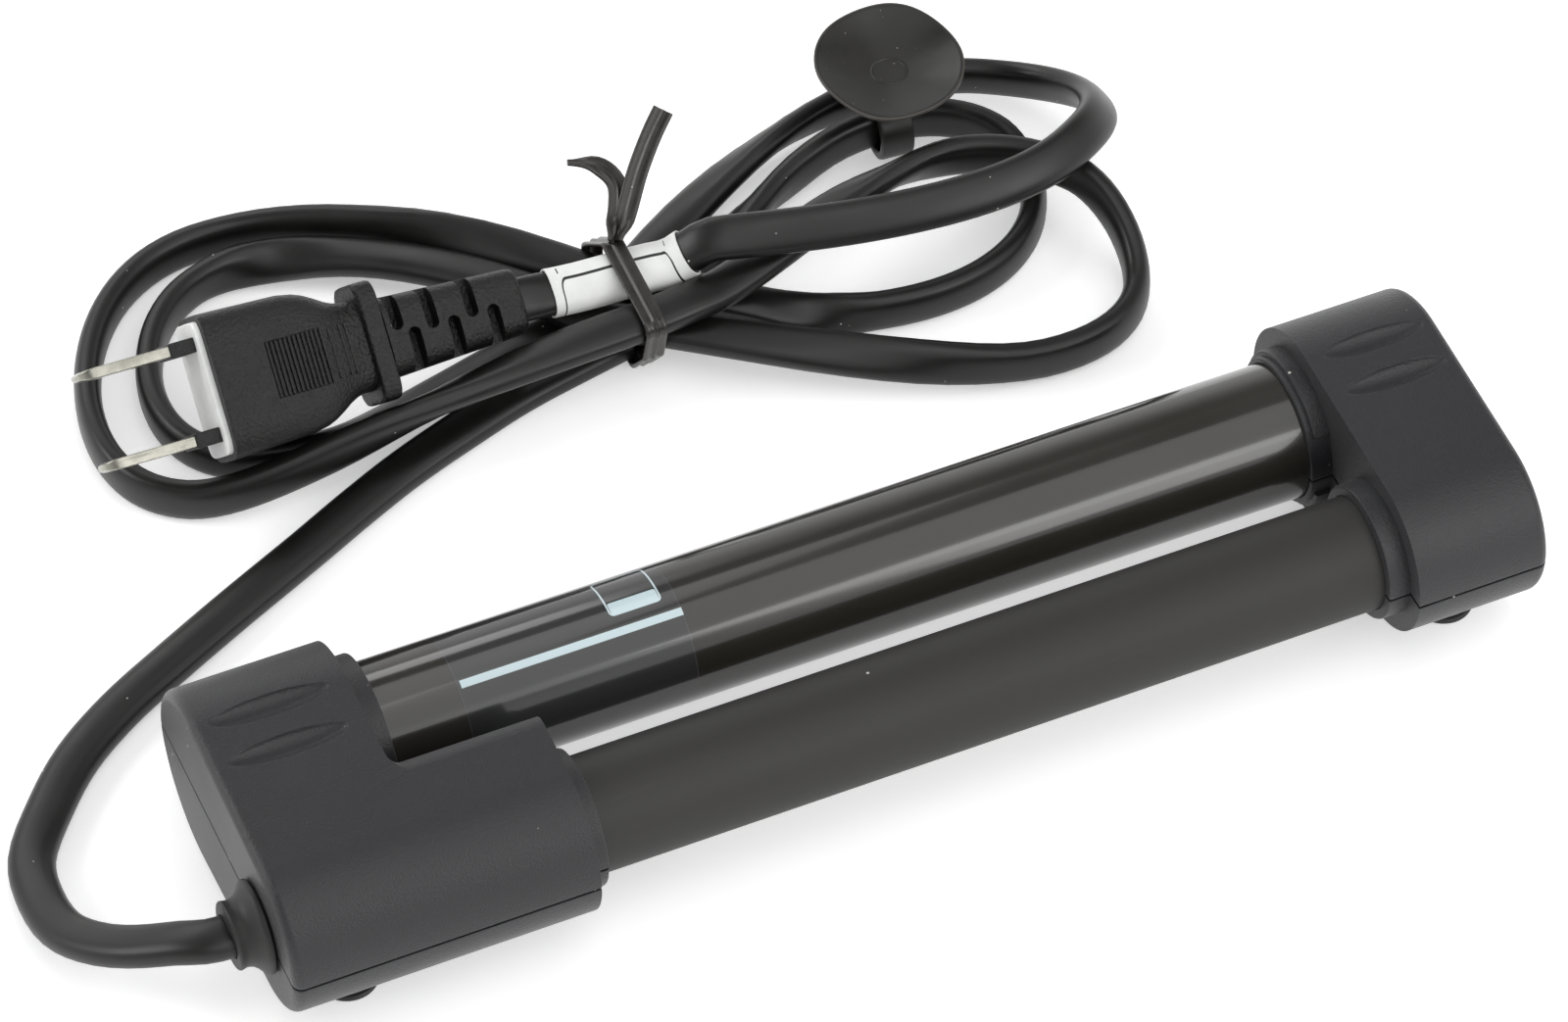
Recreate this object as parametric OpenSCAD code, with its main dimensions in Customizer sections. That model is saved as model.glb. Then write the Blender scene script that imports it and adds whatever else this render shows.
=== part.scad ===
// Submersible aquarium heater: a heating tube and a control tube held side by
// side in two moulded end caps, with the mains lead folded into a tied hank.
// X runs along the tubes from the cord end to the far end, Y from the heating
// tube to the control tube, Z up. The origin is on the table, under the middle
// of the two caps. Sizes are in millimetres.

/* [Body] */
// Length over both end caps
overall_length = 180; // [176:1:200]
// Height of both tube axes above the table
axis_height = 15.3; // [15.2:0.1:15.6]
// Distance between the two tube axes
tube_spacing = 24.1; // [23.6:0.1:25.5]
// Radius of the caps round the control tube
cap_rear_radius = 13.7; // [13.4:0.1:14]
// Radius of the caps round the heating tube
cap_front_radius = 12.1; // [11.8:0.1:12.6]
// Wall thickness of the caps
cap_wall = 1.8; // [1.5:0.1:2]

/* [Cord end cap] */
// Length of the cord end cap over the heating tube
cord_cap_long = 42.3; // [36:0.1:48]
// Length of the cord end cap over the control tube
cord_cap_short = 21.6; // [20:0.1:24]

/* [Far end cap] */
// Length of the far end cap
far_cap_length = 19.5; // [18:0.1:24]

/* [Tubes] */
// Outside diameter of the glass control tube
control_diameter = 19.2; // [18.6:0.1:19.6]
// Wall of the control tube
control_wall = 1.2; // [1:0.1:1.4]
// Outside diameter of the black heater sleeve
sleeve_diameter = 16; // [15.8:0.1:16.4]
// Wall of the heater sleeve
sleeve_wall = 0.8; // [0.6:0.1:1]
// Wall of the heater's inner glass tube
heater_glass_wall = 1; // [0.8:0.1:1.2]

/* [Grips and feet] */
// Length of the finger grips on the cord end cap
cord_grip_length = 15.7; // [14:0.1:16]
// Length of the finger grips on the far end cap
far_grip_length = 14.7; // [13:0.1:15]
// Width of a finger grip
grip_width = 3.4; // [3:0.1:4]
// Depth of a finger grip
grip_depth = 0.6; // [0.3:0.1:0.8]
// Diameter of a foot
foot_diameter = 7.5; // [7:0.1:8]

/* [Cord] */
// Width of the flat twin cord
cord_width = 6.4; // [6:0.1:6.5]
// Thickness of the flat twin cord
cord_thickness = 3.8; // [3.4:0.1:3.8]

/* [Plug] */
// Distance between the two blades, centre to centre
blade_spacing = 12.7; // [12.6:0.05:12.8]
// How far the blades stand out of the plug's face
blade_length = 17.6; // [16:0.1:18.3]
// Thickness of the plug body
plug_thickness = 13; // [12:0.1:13.4]

/* [Suction cup] */
// Diameter of the suction cup
cup_diameter = 20.8; // [19:0.1:22]
// Height of the cup's rim above the middle of its ring
cup_height = 12.3; // [12:0.1:13]

/* [Hidden] */
$fn = 64;
far = 400;
fit = 0.1;

cap_x0 = -overall_length / 2;
cap_x1 = overall_length / 2;
rear_y = (tube_spacing - 1.6) / 2;
front_y = rear_y - tube_spacing;
step_y = front_y + 9.7;
step_round = 3;
flat_drop = 0.02;
cord_peg_insets = [11.5, 17.3];
far_peg_insets = [13, 4.6];
post_radius = 2.2;
peg_radius = 1.2;
peg_y = (front_y + sleeve_diameter / 2 + rear_y - control_diameter / 2) / 2;

control_radius = control_diameter / 2;
control_bore = control_radius - control_wall;
sleeve_radius = sleeve_diameter / 2;
sleeve_bore = sleeve_radius - sleeve_wall;
heater_glass_radius = sleeve_bore - 0.6;
heater_glass_bore = heater_glass_radius - heater_glass_wall;

control_x0 = cap_x0 + 10;
control_x1 = cap_x1 - 6;
sleeve_x0 = cap_x0 + 12;
sleeve_x1 = cap_x1 - 6;
glass_inset = 3;
stopper_flange = 2;
stopper_depth = 6;
core_radius = 3;

control_collar_radius = 11.1;
control_collar_length = 3.1;
sleeve_collar_radius = 9.45;
cord_sleeve_collar = 2.2;

film_start = 35.6;
film_end = 69;
film_clear = 0.05;
film_thickness = 0.15;

board_drop = 2;
board_thickness = 1.6;
board_width = 14.4;
board_length = 96;
board_top = axis_height - board_drop + board_thickness / 2;

triac_place = 50;
triac_length = 9;
triac_width = 10;
triac_height = 4.4;
triac_tab = 6.5;
triac_tab_height = 1.3;

sensor_legs = 21;
sensor_bead = 7;
sensor_seat = 1;
sensor_radius = 2.2;
leg_radius = 0.3;
leg_apart = 1.2;

winding_turns = 20;
winding_rings = 14;
winding_radius = core_radius + 0.45;
wire_radius = 0.25;

gland_neck = 5;
gland_flange = 7.4;
gland_reach = 4.6;

// The hank: strands pass under the tie, lie in loops on both sides and end in
// the lead and the tail. hank_middle is the middle of the top row.
hank_middle = [-2, 72];
pass_half = 6;
pass_steps = 3;
lobe_steps = 24;
// Each pass: side offset, height, heading, turn at the left, turn at the right, lean along X and Y
passes = [
    [4.5, 12.2, -4, 0, -6, 0, 0],
    [3.8, 2.9, 27, -12, 8, 2.3, 7.2],
    [-3.8, 7.2, -36, -17, 0, 1.2, 3.6],
    [-3.8, 11.5, 4, -2, 4, 0, 0],
    [3.8, 7.2, -36, -13, 3, 1.2, 3.6],
    [-3.8, 2.9, 25, -15, 12, 2.3, 7.2],
];
// Each loop: pass it leaves, pass it returns to, side, reach out, reach back, pull along X and Y
lobes = [
    [0, 1, 1, 36, 144, 9, -34],
    [1, 2, -1, 104, 136, 8, -20],
    [2, 3, 1, 178, 50, -12, 41],
    [3, 4, -1, 121, 163, 14, -32],
    [4, 5, 1, 50, 122, 1, -21],
];
// Height of each loop along its run, as a share of the run and a height
lobe_heights = [
    [[0, 12.2], [0.06, 16.2], [0.3, 16.9], [0.42, 16.8], [0.75, 4.6], [0.9, 4.2], [1, 2.9]],
    [[0, 2.9], [0.12, 3.3], [0.8, 3.3], [1, 7.2]],
    [[0, 7.2], [0.16, 3.3], [0.28, 3.3], [0.48, 10.2], [0.96, 10.9], [1, 11.5]],
    [[0, 11.5], [0.3, 3.3], [0.8, 3.3], [1, 7.2]],
    [[0, 7.2], [0.14, 3.3], [0.55, 3.3], [0.66, 5], [0.86, 5], [0.94, 3.3], [1, 2.9]],
];
// Roll of the flat cord along each loop, as a share of the run and an angle
lobe_rolls = [
    [[0, 20], [0.15, 45], [0.5, 45], [0.72, 80], [0.86, 80], [1, 0]],
    [[0, 0], [0.32, 90], [0.72, 90], [0.9, 0], [1, 0]],
    [[0, 0], [0.14, 90], [0.62, 90], [0.84, 8], [1, 0]],
    [[0, 0], [0.16, 90], [0.9, 90], [1, 0]],
    [[0, 0], [0.06, 0], [0.2, 90], [0.9, 90], [1, 0]],
];
top_roll = 20;

// Route of the lead from inside the cap to the hank; the first run is square to the cap
lead_inside = 3.8;
lead_bend = [
    [-2.9, 0.45, -0.1],
    [-6.1, 2.45, -1.1],
    [-9.4, 4.85, -2.8],
    [-12.5, 7.85, -4.8],
    [-15.2, 11.75, -7],
    [-17.2, 16.8, -9.3],
    [-17.6, 24, -11.5],
    [-16.2, 31.8, -12.8],
];
lead_table = [
    [-105.2, 27, 2.1],
    [-99.3, 33.2, 2.1],
    [-91.2, 38.9, 2.1],
    [-81.5, 44, 2.1],
    [-70.5, 49.4, 2.1],
    [-58.1, 55.2, 2.1],
    [-49, 59.6, 2.1],
    [-40, 63.6, 2.1],
    [-30, 67.2, 2.1],
    [-20.5, 70.1, 2.3],
    [-11.5, 71.8, 2.7],
];

plug_end = [-18, 77.1, 13.2];
plug_heading = 182.1;
plug_rise = 4.7;
plug_tilt = -41;
plug_face = 46.1;
plate_thickness = 0.8;
blade_thickness = 1.5;
blade_width = 6.3;
blade_root = 9;
sleeve_on_blade = 4.5;
plug_flange_x = 20.6;
plug_flange_length = 3;

clip_loop = 4;
clip_step = 19;
clip_ring_radius = 4.8;
clip_bore = 3.5;
clip_width = 5;

tie_width = 3.5;
tie_thickness = 0.6;
tie_corner = 1.3;
tie_x = hank_middle[0];
// Corners of the tie's loop round the leaning stack of strands, across and up
tie_corners = [[70.7, 2.2], [85.9, 2.2], [85.9, 7.9], [79.4, 14], [65.6, 12.6], [67, 7.2]];

// Cylinder along X
module rod_x(x0, x1, r, y, z = axis_height) {
    translate([x0, y, z]) rotate([0, 90, 0]) cylinder(h = x1 - x0, r = r);
}

// Tube along X
module tube_x(x0, x1, r, bore, y, z = axis_height) {
    difference() {
        rod_x(x0, x1, r, y, z);
        rod_x(x0 - 1, x1 + 1, bore, y, z);
    }
}

// Flat outline in Y and Z, drawn out along X
module across(x0, length) {
    translate([x0, 0, 0]) rotate([90, 0, 90]) linear_extrude(length) children();
}

module box(x0, x1, y0, y1, z0, z1) {
    translate([x0, y0, z0]) cube([x1 - x0, y1 - y0, z1 - z0]);
}

// ---- End caps ----

// Outline of both caps: two circles and the flats between them, which lie a hair
// inside the tangent, so that they cross both circles cleanly
module cap_outline(inset) {
    rear = cap_rear_radius - inset;
    front = cap_front_radius - inset;
    lean = asin((rear - front) / tube_spacing);
    rear_flat = rear - flat_drop;
    front_flat = front - flat_drop;
    translate([rear_y, axis_height]) circle(r = rear);
    translate([front_y, axis_height]) circle(r = front);
    polygon([
        [rear_y - rear_flat * sin(lean), axis_height + rear_flat * cos(lean)],
        [front_y - front_flat * sin(lean), axis_height + front_flat * cos(lean)],
        [front_y - front_flat * sin(lean), axis_height - front_flat * cos(lean)],
        [rear_y - rear_flat * sin(lean), axis_height - rear_flat * cos(lean)],
    ]);
}

// Part of the outline over the heating tube, with its rounded inner edges
module front_outline(inset) {
    edge = step_y - inset;
    corner = cap_front_radius - inset + 0.35 - step_round;
    intersection() {
        cap_outline(inset);
        union() {
            translate([front_y - 20, axis_height - 20]) square([edge - step_round - front_y + 20, 40]);
            translate([front_y, axis_height - corner]) square([edge - front_y, 2 * corner]);
            translate([edge - step_round, axis_height + corner]) circle(r = step_round);
            translate([edge - step_round, axis_height - corner]) circle(r = step_round);
        }
    }
}

module cord_cap_block(inset) {
    across(cap_x0 + inset, cord_cap_short - 2 * inset) cap_outline(inset);
    across(cap_x0 + inset, cord_cap_long - 2 * inset) front_outline(inset);
}

module cord_cap_shell() {
    short_end = cap_x0 + cord_cap_short;
    long_end = cap_x0 + cord_cap_long;
    difference() {
        union() {
            cord_cap_block(0);
            rod_x(short_end - 1, short_end + control_collar_length, control_collar_radius, rear_y);
            rod_x(long_end - 1, long_end + cord_sleeve_collar, sleeve_collar_radius, front_y);
        }
        cord_cap_block(cap_wall);
        rod_x(short_end - cap_wall - 1, short_end + far, control_radius + fit, rear_y);
        rod_x(long_end - cap_wall - 1, long_end + far, sleeve_radius + fit, front_y);
        rod_x(cap_x0 - 1, cap_x0 + cap_wall + 1, gland_neck + fit, front_y);
    }
}

module far_cap_shell() {
    inner_end = cap_x1 - far_cap_length;
    difference() {
        union() {
            across(inner_end, far_cap_length) cap_outline(0);
            rod_x(inner_end - control_collar_length, inner_end + 1, control_collar_radius, rear_y);
            rod_x(inner_end - control_collar_length, inner_end + 1, sleeve_collar_radius, front_y);
        }
        across(inner_end + cap_wall, far_cap_length - 2 * cap_wall) cap_outline(cap_wall);
        rod_x(inner_end - far, inner_end + cap_wall + 1, control_radius + fit, rear_y);
        rod_x(inner_end - far, inner_end + cap_wall + 1, sleeve_radius + fit, front_y);
    }
}

module upper_half() {
    box(-far, far, -far, far, axis_height, far);
}

module lower_half() {
    box(-far, far, -far, far, -far, axis_height);
}

// Two finger grips in the top of a cap, sloped with its top
module grips(middle, length) {
    lean = asin((cap_rear_radius - cap_front_radius) / tube_spacing);
    for (side = [-1.05, -8.2]) {
        translate([middle, rear_y, axis_height]) rotate([lean, 0, 0])
            translate([0, side, cap_rear_radius - grip_depth]) {
                for (end = [-1, 1]) {
                    translate([end * (length - grip_width) / 2, 0, 0]) cylinder(h = 5, d = grip_width);
                }
                box(-(length - grip_width) / 2, (length - grip_width) / 2, -grip_width / 2, grip_width / 2, 0, 5);
            }
    }
}

// Sockets that the lower shell's pegs press into
module upper_posts(places) {
    difference() {
        for (x = places) {
            translate([x, peg_y, axis_height]) cylinder(h = cap_front_radius - cap_wall + 1.5, r = post_radius);
        }
        for (x = places) {
            translate([x, peg_y, axis_height - 1]) cylinder(h = 7, r = peg_radius + fit / 2);
        }
    }
}

module lower_posts(places) {
    base = axis_height - cap_front_radius + cap_wall - 1.5;
    for (x = places) {
        translate([x, peg_y, base]) cylinder(h = axis_height - base, r = post_radius);
        translate([x, peg_y, axis_height - 1]) cylinder(h = 6, r = peg_radius);
    }
}

// Round pad under a shell, over a foot
module foot_pad(x, y, bottom) {
    translate([x, y, foot_height]) cylinder(h = bottom + pad_sink - foot_height, d = foot_diameter);
}

// Blind hole for a foot's stem
module foot_hole(x, y, bottom) {
    translate([x, y, 0]) cylinder(h = bottom + foot_stem + fit / 2, r = foot_stem_radius + fit / 2);
}

cord_pegs = [for (inset = cord_peg_insets) cap_x0 + inset];
far_pegs = [for (inset = far_peg_insets) cap_x1 - inset];
foot_share = 0.75;
foot_stem = 1;
foot_stem_radius = 1.4;
pad_sink = 1.3;
cord_foot_x = cap_x0 + 10.7;
far_foot_x = cap_x1 - 9.3;
front_foot_y = front_y - 1.15;
front_bottom = axis_height - cap_front_radius;
rear_bottom = axis_height - cap_rear_radius;
foot_height = foot_share * rear_bottom;

module lower_shell(pegs, foot_x) {
    difference() {
        union() {
            intersection() {
                children();
                lower_half();
            }
            lower_posts(pegs);
            foot_pad(foot_x, front_foot_y, front_bottom);
            foot_pad(foot_x, rear_y, rear_bottom);
        }
        foot_hole(foot_x, front_foot_y, front_bottom);
        foot_hole(foot_x, rear_y, rear_bottom);
    }
}

module cord_cap_upper() color([0.22, 0.22, 0.23]) {
    difference() {
        intersection() {
            cord_cap_shell();
            upper_half();
        }
        grips(cap_x0 + 11.05, cord_grip_length);
    }
    upper_posts(cord_pegs);
}

module cord_cap_lower() color([0.2, 0.2, 0.21]) {
    lower_shell(cord_pegs, cord_foot_x) cord_cap_shell();
}

module far_cap_upper() color([0.22, 0.22, 0.23]) {
    difference() {
        intersection() {
            far_cap_shell();
            upper_half();
        }
        grips(cap_x1 - 9.65, far_grip_length);
    }
    upper_posts(far_pegs);
}

module far_cap_lower() color([0.2, 0.2, 0.21]) {
    lower_shell(far_pegs, far_foot_x) far_cap_shell();
}

module foot(x, y, bottom) color([0.12, 0.12, 0.12]) {
    translate([x, y, 0]) cylinder(h = foot_height, d = foot_diameter);
    translate([x, y, 0]) cylinder(h = bottom + foot_stem, r = foot_stem_radius);
}

module foot_front_cord_end() foot(cord_foot_x, front_foot_y, front_bottom);
module foot_rear_cord_end() foot(cord_foot_x, rear_y, rear_bottom);
module foot_front_far_end() foot(far_foot_x, front_foot_y, front_bottom);
module foot_rear_far_end() foot(far_foot_x, rear_y, rear_bottom);

// ---- Control tube and what it holds ----

module control_tube() color([0.3, 0.31, 0.3, 0.6]) {
    tube_x(control_x0, control_x1, control_radius, control_bore, rear_y);
}

module rating_film() color([0.55, 0.6, 0.65]) {
    outer = control_bore - film_clear;
    tube_x(cap_x0 + film_start, cap_x0 + film_end, outer, outer - film_thickness, rear_y);
}

// Rubber stopper in the end of a tube: flange outside, plug inside
module control_stopper(face, way) color([0.15, 0.15, 0.15]) {
    flange = [face, face - way * stopper_flange];
    plug = [face, face + way * stopper_depth];
    rod_x(min(flange), max(flange), control_radius, rear_y);
    rod_x(min(plug), max(plug), control_bore - 0.05, rear_y);
}

module control_stopper_cord_end() control_stopper(control_x0, 1);
module control_stopper_far_end() control_stopper(control_x1, -1);

module circuit_board() color([0.1, 0.35, 0.2]) {
    start = control_x0 + stopper_depth;
    box(start, start + board_length, rear_y - board_width / 2, rear_y + board_width / 2,
        board_top - board_thickness, board_top);
}

module triac() color([0.1, 0.1, 0.1]) {
    x = control_x0 + triac_place;
    half = triac_width / 2;
    box(x, x + triac_length, rear_y - half, rear_y + half, board_top, board_top + triac_height);
    box(x + triac_length, x + triac_length + triac_tab, rear_y - half, rear_y + half,
        board_top, board_top + triac_tab_height);
}

module board_components() color([0.6, 0.5, 0.3]) {
    x = control_x0 + 26;
    box(x, x + 12, rear_y - 3, rear_y + 3, board_top, board_top + 5.5);
    rod_x(x + 14, x + 20, 1.2, rear_y - 4, board_top + 1.2);
    rod_x(x + 14, x + 20, 1.2, rear_y + 4, board_top + 1.2);
    translate([x + 45, rear_y - 2.5, board_top]) cylinder(h = 4.6, r = 2.5);
    box(x + 52, x + 57, rear_y - 2, rear_y + 2, board_top, board_top + 1.8);
    rod_x(x + 60, x + 66, 1.2, rear_y + 3, board_top + 1.2);
}

module thermal_fuse() color([0.75, 0.75, 0.72]) {
    rod_x(control_x0 + 10, control_x0 + 20, 1.8, rear_y + 3, board_top + 1.8);
}

// Bead on two stiff legs, beyond the board's end
module temperature_sensor() color([0.7, 0.45, 0.2]) {
    end = control_x0 + stopper_depth + board_length;
    level = board_top - board_thickness / 2;
    bead = end + sensor_legs - sensor_seat;
    rod_x(end, end + sensor_legs, leg_radius, rear_y - leg_apart, level);
    rod_x(end, end + sensor_legs, leg_radius, rear_y + leg_apart, level);
    rod_x(bead, bead + sensor_bead, sensor_radius, rear_y, level);
}

// ---- Heating tube and what it holds ----

module heater_sleeve() color([0.16, 0.16, 0.15]) {
    tube_x(sleeve_x0, sleeve_x1, sleeve_radius, sleeve_bore, front_y);
}

module heater_glass() color([0.8, 0.85, 0.85, 0.5]) {
    tube_x(sleeve_x0 + glass_inset, sleeve_x1 - glass_inset, heater_glass_radius, heater_glass_bore, front_y);
}

// Stepped rubber stopper: flange, plug in the sleeve and plug in the glass
module heater_stopper(face, way) color([0.15, 0.15, 0.15]) {
    flange = [face, face - way * stopper_flange];
    middle = [face, face + way * glass_inset];
    inner = [face, face + way * (glass_inset + 4)];
    rod_x(min(flange), max(flange), sleeve_radius, front_y);
    rod_x(min(middle), max(middle), sleeve_bore - 0.05, front_y);
    rod_x(min(inner), max(inner), heater_glass_bore - 0.05, front_y);
}

module heater_stopper_cord_end() heater_stopper(sleeve_x0, 1);
module heater_stopper_far_end() heater_stopper(sleeve_x1, -1);

core_x0 = sleeve_x0 + glass_inset + 4;
core_x1 = sleeve_x1 - glass_inset - 4;

module ceramic_core() color([0.9, 0.88, 0.82]) {
    rod_x(core_x0, core_x1, core_radius, front_y);
    rod_x(core_x0, core_x0 + 2, heater_glass_bore - 0.1, front_y);
    rod_x(core_x1 - 2, core_x1, heater_glass_bore - 0.1, front_y);
}

// ---- Cord sections ----

// Unit outlines, turning from the wide axis to the thin one
oval = [for (k = [0 : 7]) [cos(45 * k), sin(45 * k)]];
round_wire = [for (k = [0 : 3]) [cos(90 * k), sin(90 * k)]];
strip = [[1, 1], [-1, 1], [-1, -1], [1, -1]];

function direction(v) = v / norm(v);

// A station is a point with its wide and its thin axis
function ring_points(station, shape, wide, thin) =
    [for (p = shape) station[0] + p[0] * wide * station[1] + p[1] * thin * station[2]];

// Wide and thin axes of a flat cord that runs along way and is rolled by an angle
function cord_axes(way, roll) =
    let (side = direction([-way[1], way[0], 0]))
    let (up = cross(way, side))
    [side * cos(roll) + up * sin(roll), up * cos(roll) - side * sin(roll)];

// Direction of a run of points at point i, or the given one at either end
function way_at(points, i, first_way, last_way) =
    i == 0 ? first_way
    : i == len(points) - 1 ? last_way
    : direction(points[i + 1] - points[i - 1]);

function stations(points, rolls, first_way, last_way) =
    [for (i = [0 : len(points) - 1])
        let (axes = cord_axes(way_at(points, i, first_way, last_way), rolls[i]))
        [points[i], axes[0], axes[1]]];

// Solid bar through its stations
module bar(run, shape, wide, thin) {
    n = len(shape);
    last = (len(run) - 1) * n;
    points = [for (s = run) each ring_points(s, shape, wide, thin)];
    sides = [for (i = [0 : len(run) - 2]) for (k = [0 : n - 1])
        let (a = i * n + k)
        let (b = i * n + (k + 1) % n)
        each [[a, a + n, b + n], [a, b + n, b]]];
    start = [for (k = [1 : n - 2]) [0, k, k + 1]];
    end = [for (k = [1 : n - 2]) [last, last + k + 1, last + k]];
    polyhedron(points = points, faces = concat(sides, start, end), convexity = 10);
}

// Hollow wrap through its stations
module wrap(run, shape, wide, thin, wall) {
    n = len(shape);
    rings = len(run);
    shift = rings * n;
    last = (rings - 1) * n;
    outer = [for (s = run) each ring_points(s, shape, wide + wall, thin + wall)];
    inner = [for (s = run) each ring_points(s, shape, wide, thin)];
    skin = [for (i = [0 : rings - 2]) for (k = [0 : n - 1])
        let (a = i * n + k)
        let (b = i * n + (k + 1) % n)
        each [[a, a + n, b + n], [a, b + n, b], [a + shift, b + n + shift, a + n + shift],
              [a + shift, b + shift, b + n + shift]]];
    ends = [for (k = [0 : n - 1])
        let (c = (k + 1) % n)
        each [[k, c, c + shift], [k, c + shift, k + shift], [last + k, last + c + shift, last + c],
              [last + k, last + k + shift, last + c + shift]]];
    polyhedron(points = concat(outer, inner), faces = concat(skin, ends), convexity = 10);
}

// ---- Heating wire ----

winding_length = core_x1 - core_x0 - 12;
winding_stations = [for (i = [0 : winding_turns * winding_rings])
    let (angle = 360 * i / winding_rings)
    let (outward = [0, cos(angle), sin(angle)])
    let (along = winding_length / (winding_turns * winding_rings))
    let (step = winding_radius * 2 * PI / winding_rings)
    let (way = direction([along, -step * sin(angle), step * cos(angle)]))
    [[core_x0 + 6 + along * i, front_y, axis_height] + winding_radius * outward, outward, cross(way, outward)]];
winding_gap = winding_length / winding_turns - 2 * wire_radius;
echo(winding_gap = winding_gap);

module heating_wire() color([0.7, 0.6, 0.5]) {
    bar(winding_stations, round_wire, wire_radius, wire_radius);
}

// ---- Hank of cord ----

function unit(angle) = [cos(angle), sin(angle)];
function ease(s) = let (c = min(max(s, 0), 1)) c * c * (3 - 2 * c);
function bezier(a, b, c, d, t) =
    a * pow(1 - t, 3) + b * 3 * pow(1 - t, 2) * t + c * 3 * (1 - t) * t * t + d * pow(t, 3);

// Value at t from a table of shares and values, eased between its rows
function along(table, t, i = 0) =
    i > len(table) - 2 ? table[len(table) - 1][1]
    : t <= table[i + 1][0]
        ? table[i][1] + (table[i + 1][1] - table[i][1]) * ease((t - table[i][0]) / (table[i + 1][0] - table[i][0]))
    : along(table, t, i + 1);

// End of pass k on the left (-1) or right (1) of the tie, and the cord's direction there
function pass_end(k, side) =
    let (p = passes[k])
    hank_middle + [p[5], p[6]] + p[0] * [-sin(p[2]), cos(p[2])] + side * pass_half * unit(p[2]);
function pass_way(k, side) = unit(passes[k][2] + passes[k][side < 0 ? 3 : 4]);

// Points of a pass, from the left when way is 1 and from the right when it is -1
function pass_points(k, way) =
    let (left = pass_end(k, -1))
    let (right = pass_end(k, 1))
    let (pull = pass_half * 2 / 3)
    [for (i = [0 : pass_steps])
        let (t = way > 0 ? i / pass_steps : 1 - i / pass_steps)
        let (p = bezier(left, left + pull * pass_way(k, -1), right - pull * pass_way(k, 1), right, t))
        [p[0], p[1], passes[k][1]]];

// Points of a loop between its two passes, without the passes' own ends
function lobe_points(n) =
    let (l = lobes[n])
    let (side = l[2])
    let (a = pass_end(l[0], side))
    let (b = pass_end(l[1], side))
    let (out = a + side * l[3] * pass_way(l[0], side))
    let (back = b + side * l[4] * pass_way(l[1], side))
    [for (i = [1 : lobe_steps - 1])
        let (t = i / lobe_steps)
        let (p = bezier(a, out, back, b, t) + 16 * t * t * (1 - t) * (1 - t) * [l[5], l[6]])
        [p[0], p[1], along(lobe_heights[n], t)]];

function pass_rolls(k) = [for (i = [0 : pass_steps]) k == 0 ? top_roll : 0];
function lobe_rolls_at(n) = [for (i = [1 : lobe_steps - 1]) along(lobe_rolls[n], i / lobe_steps)];

hank_points = concat(
    pass_points(0, 1), lobe_points(0), pass_points(1, -1), lobe_points(1), pass_points(2, 1), lobe_points(2),
    pass_points(3, -1), lobe_points(3), pass_points(4, 1), lobe_points(4), pass_points(5, -1));
hank_rolls = concat(
    pass_rolls(0), lobe_rolls_at(0), pass_rolls(1), lobe_rolls_at(1), pass_rolls(2), lobe_rolls_at(2),
    pass_rolls(3), lobe_rolls_at(3), pass_rolls(4), lobe_rolls_at(4), pass_rolls(5));

tail_way = concat(pass_way(0, -1), [0]);
lead_way = -concat(pass_way(5, -1), [0]);
hank_stations = stations(hank_points, hank_rolls, tail_way, lead_way);

// Half of the cord's size at a station, measured towards a direction
function reach(station, d) =
    norm([cord_width / 2 * (station[1] * d), cord_thickness / 2 * (station[2] * d)]);

// Least gap of the hank to itself, from its own stations and the points midway between them
function midway(a, b) = [(a[0] + b[0]) / 2, direction(a[1] + b[1]), direction(a[2] + b[2])];
gap_stations = [for (i = [0 : len(hank_stations) - 2])
    each [hank_stations[i], midway(hank_stations[i], hank_stations[i + 1])]];
near_skip = 7;
hank_gap = min([for (i = [0 : len(gap_stations) - 1]) for (j = [i + near_skip : 1 : len(gap_stations) - 1])
    let (apart = gap_stations[j][0] - gap_stations[i][0])
    if (norm(apart) < 8)
        let (d = direction(apart))
        norm(apart) - reach(gap_stations[i], d) - reach(gap_stations[j], d)]);
echo(hank_gap = hank_gap);

function run_length(points) =
    let (steps = [for (i = [1 : len(points) - 1]) norm(points[i] - points[i - 1])])
    steps * [for (s = steps) 1];
echo(hank_length = run_length(hank_points));

module cord_hank() color([0.1, 0.1, 0.1]) {
    bar(hank_stations, oval, cord_width / 2, cord_thickness / 2);
}

// ---- Lead from the cap to the hank ----

lead_mouth = [cap_x0 - gland_reach, front_y, axis_height];
lead_points = concat(
    [[cap_x0 + lead_inside, front_y, axis_height], [cap_x0, front_y, axis_height], lead_mouth],
    [for (p = lead_bend) [cap_x0, front_y, axis_height] + [-gland_reach, 0, 0] + p],
    lead_table,
    [hank_points[len(hank_points) - 1]]);
lead_rolls = [for (p = lead_points) 0];

module cord_lead() color([0.1, 0.1, 0.1]) {
    bar(stations(lead_points, lead_rolls, [-1, 0, 0], -lead_way), oval, cord_width / 2, cord_thickness / 2);
}
echo(lead_length = run_length(lead_points));

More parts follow.
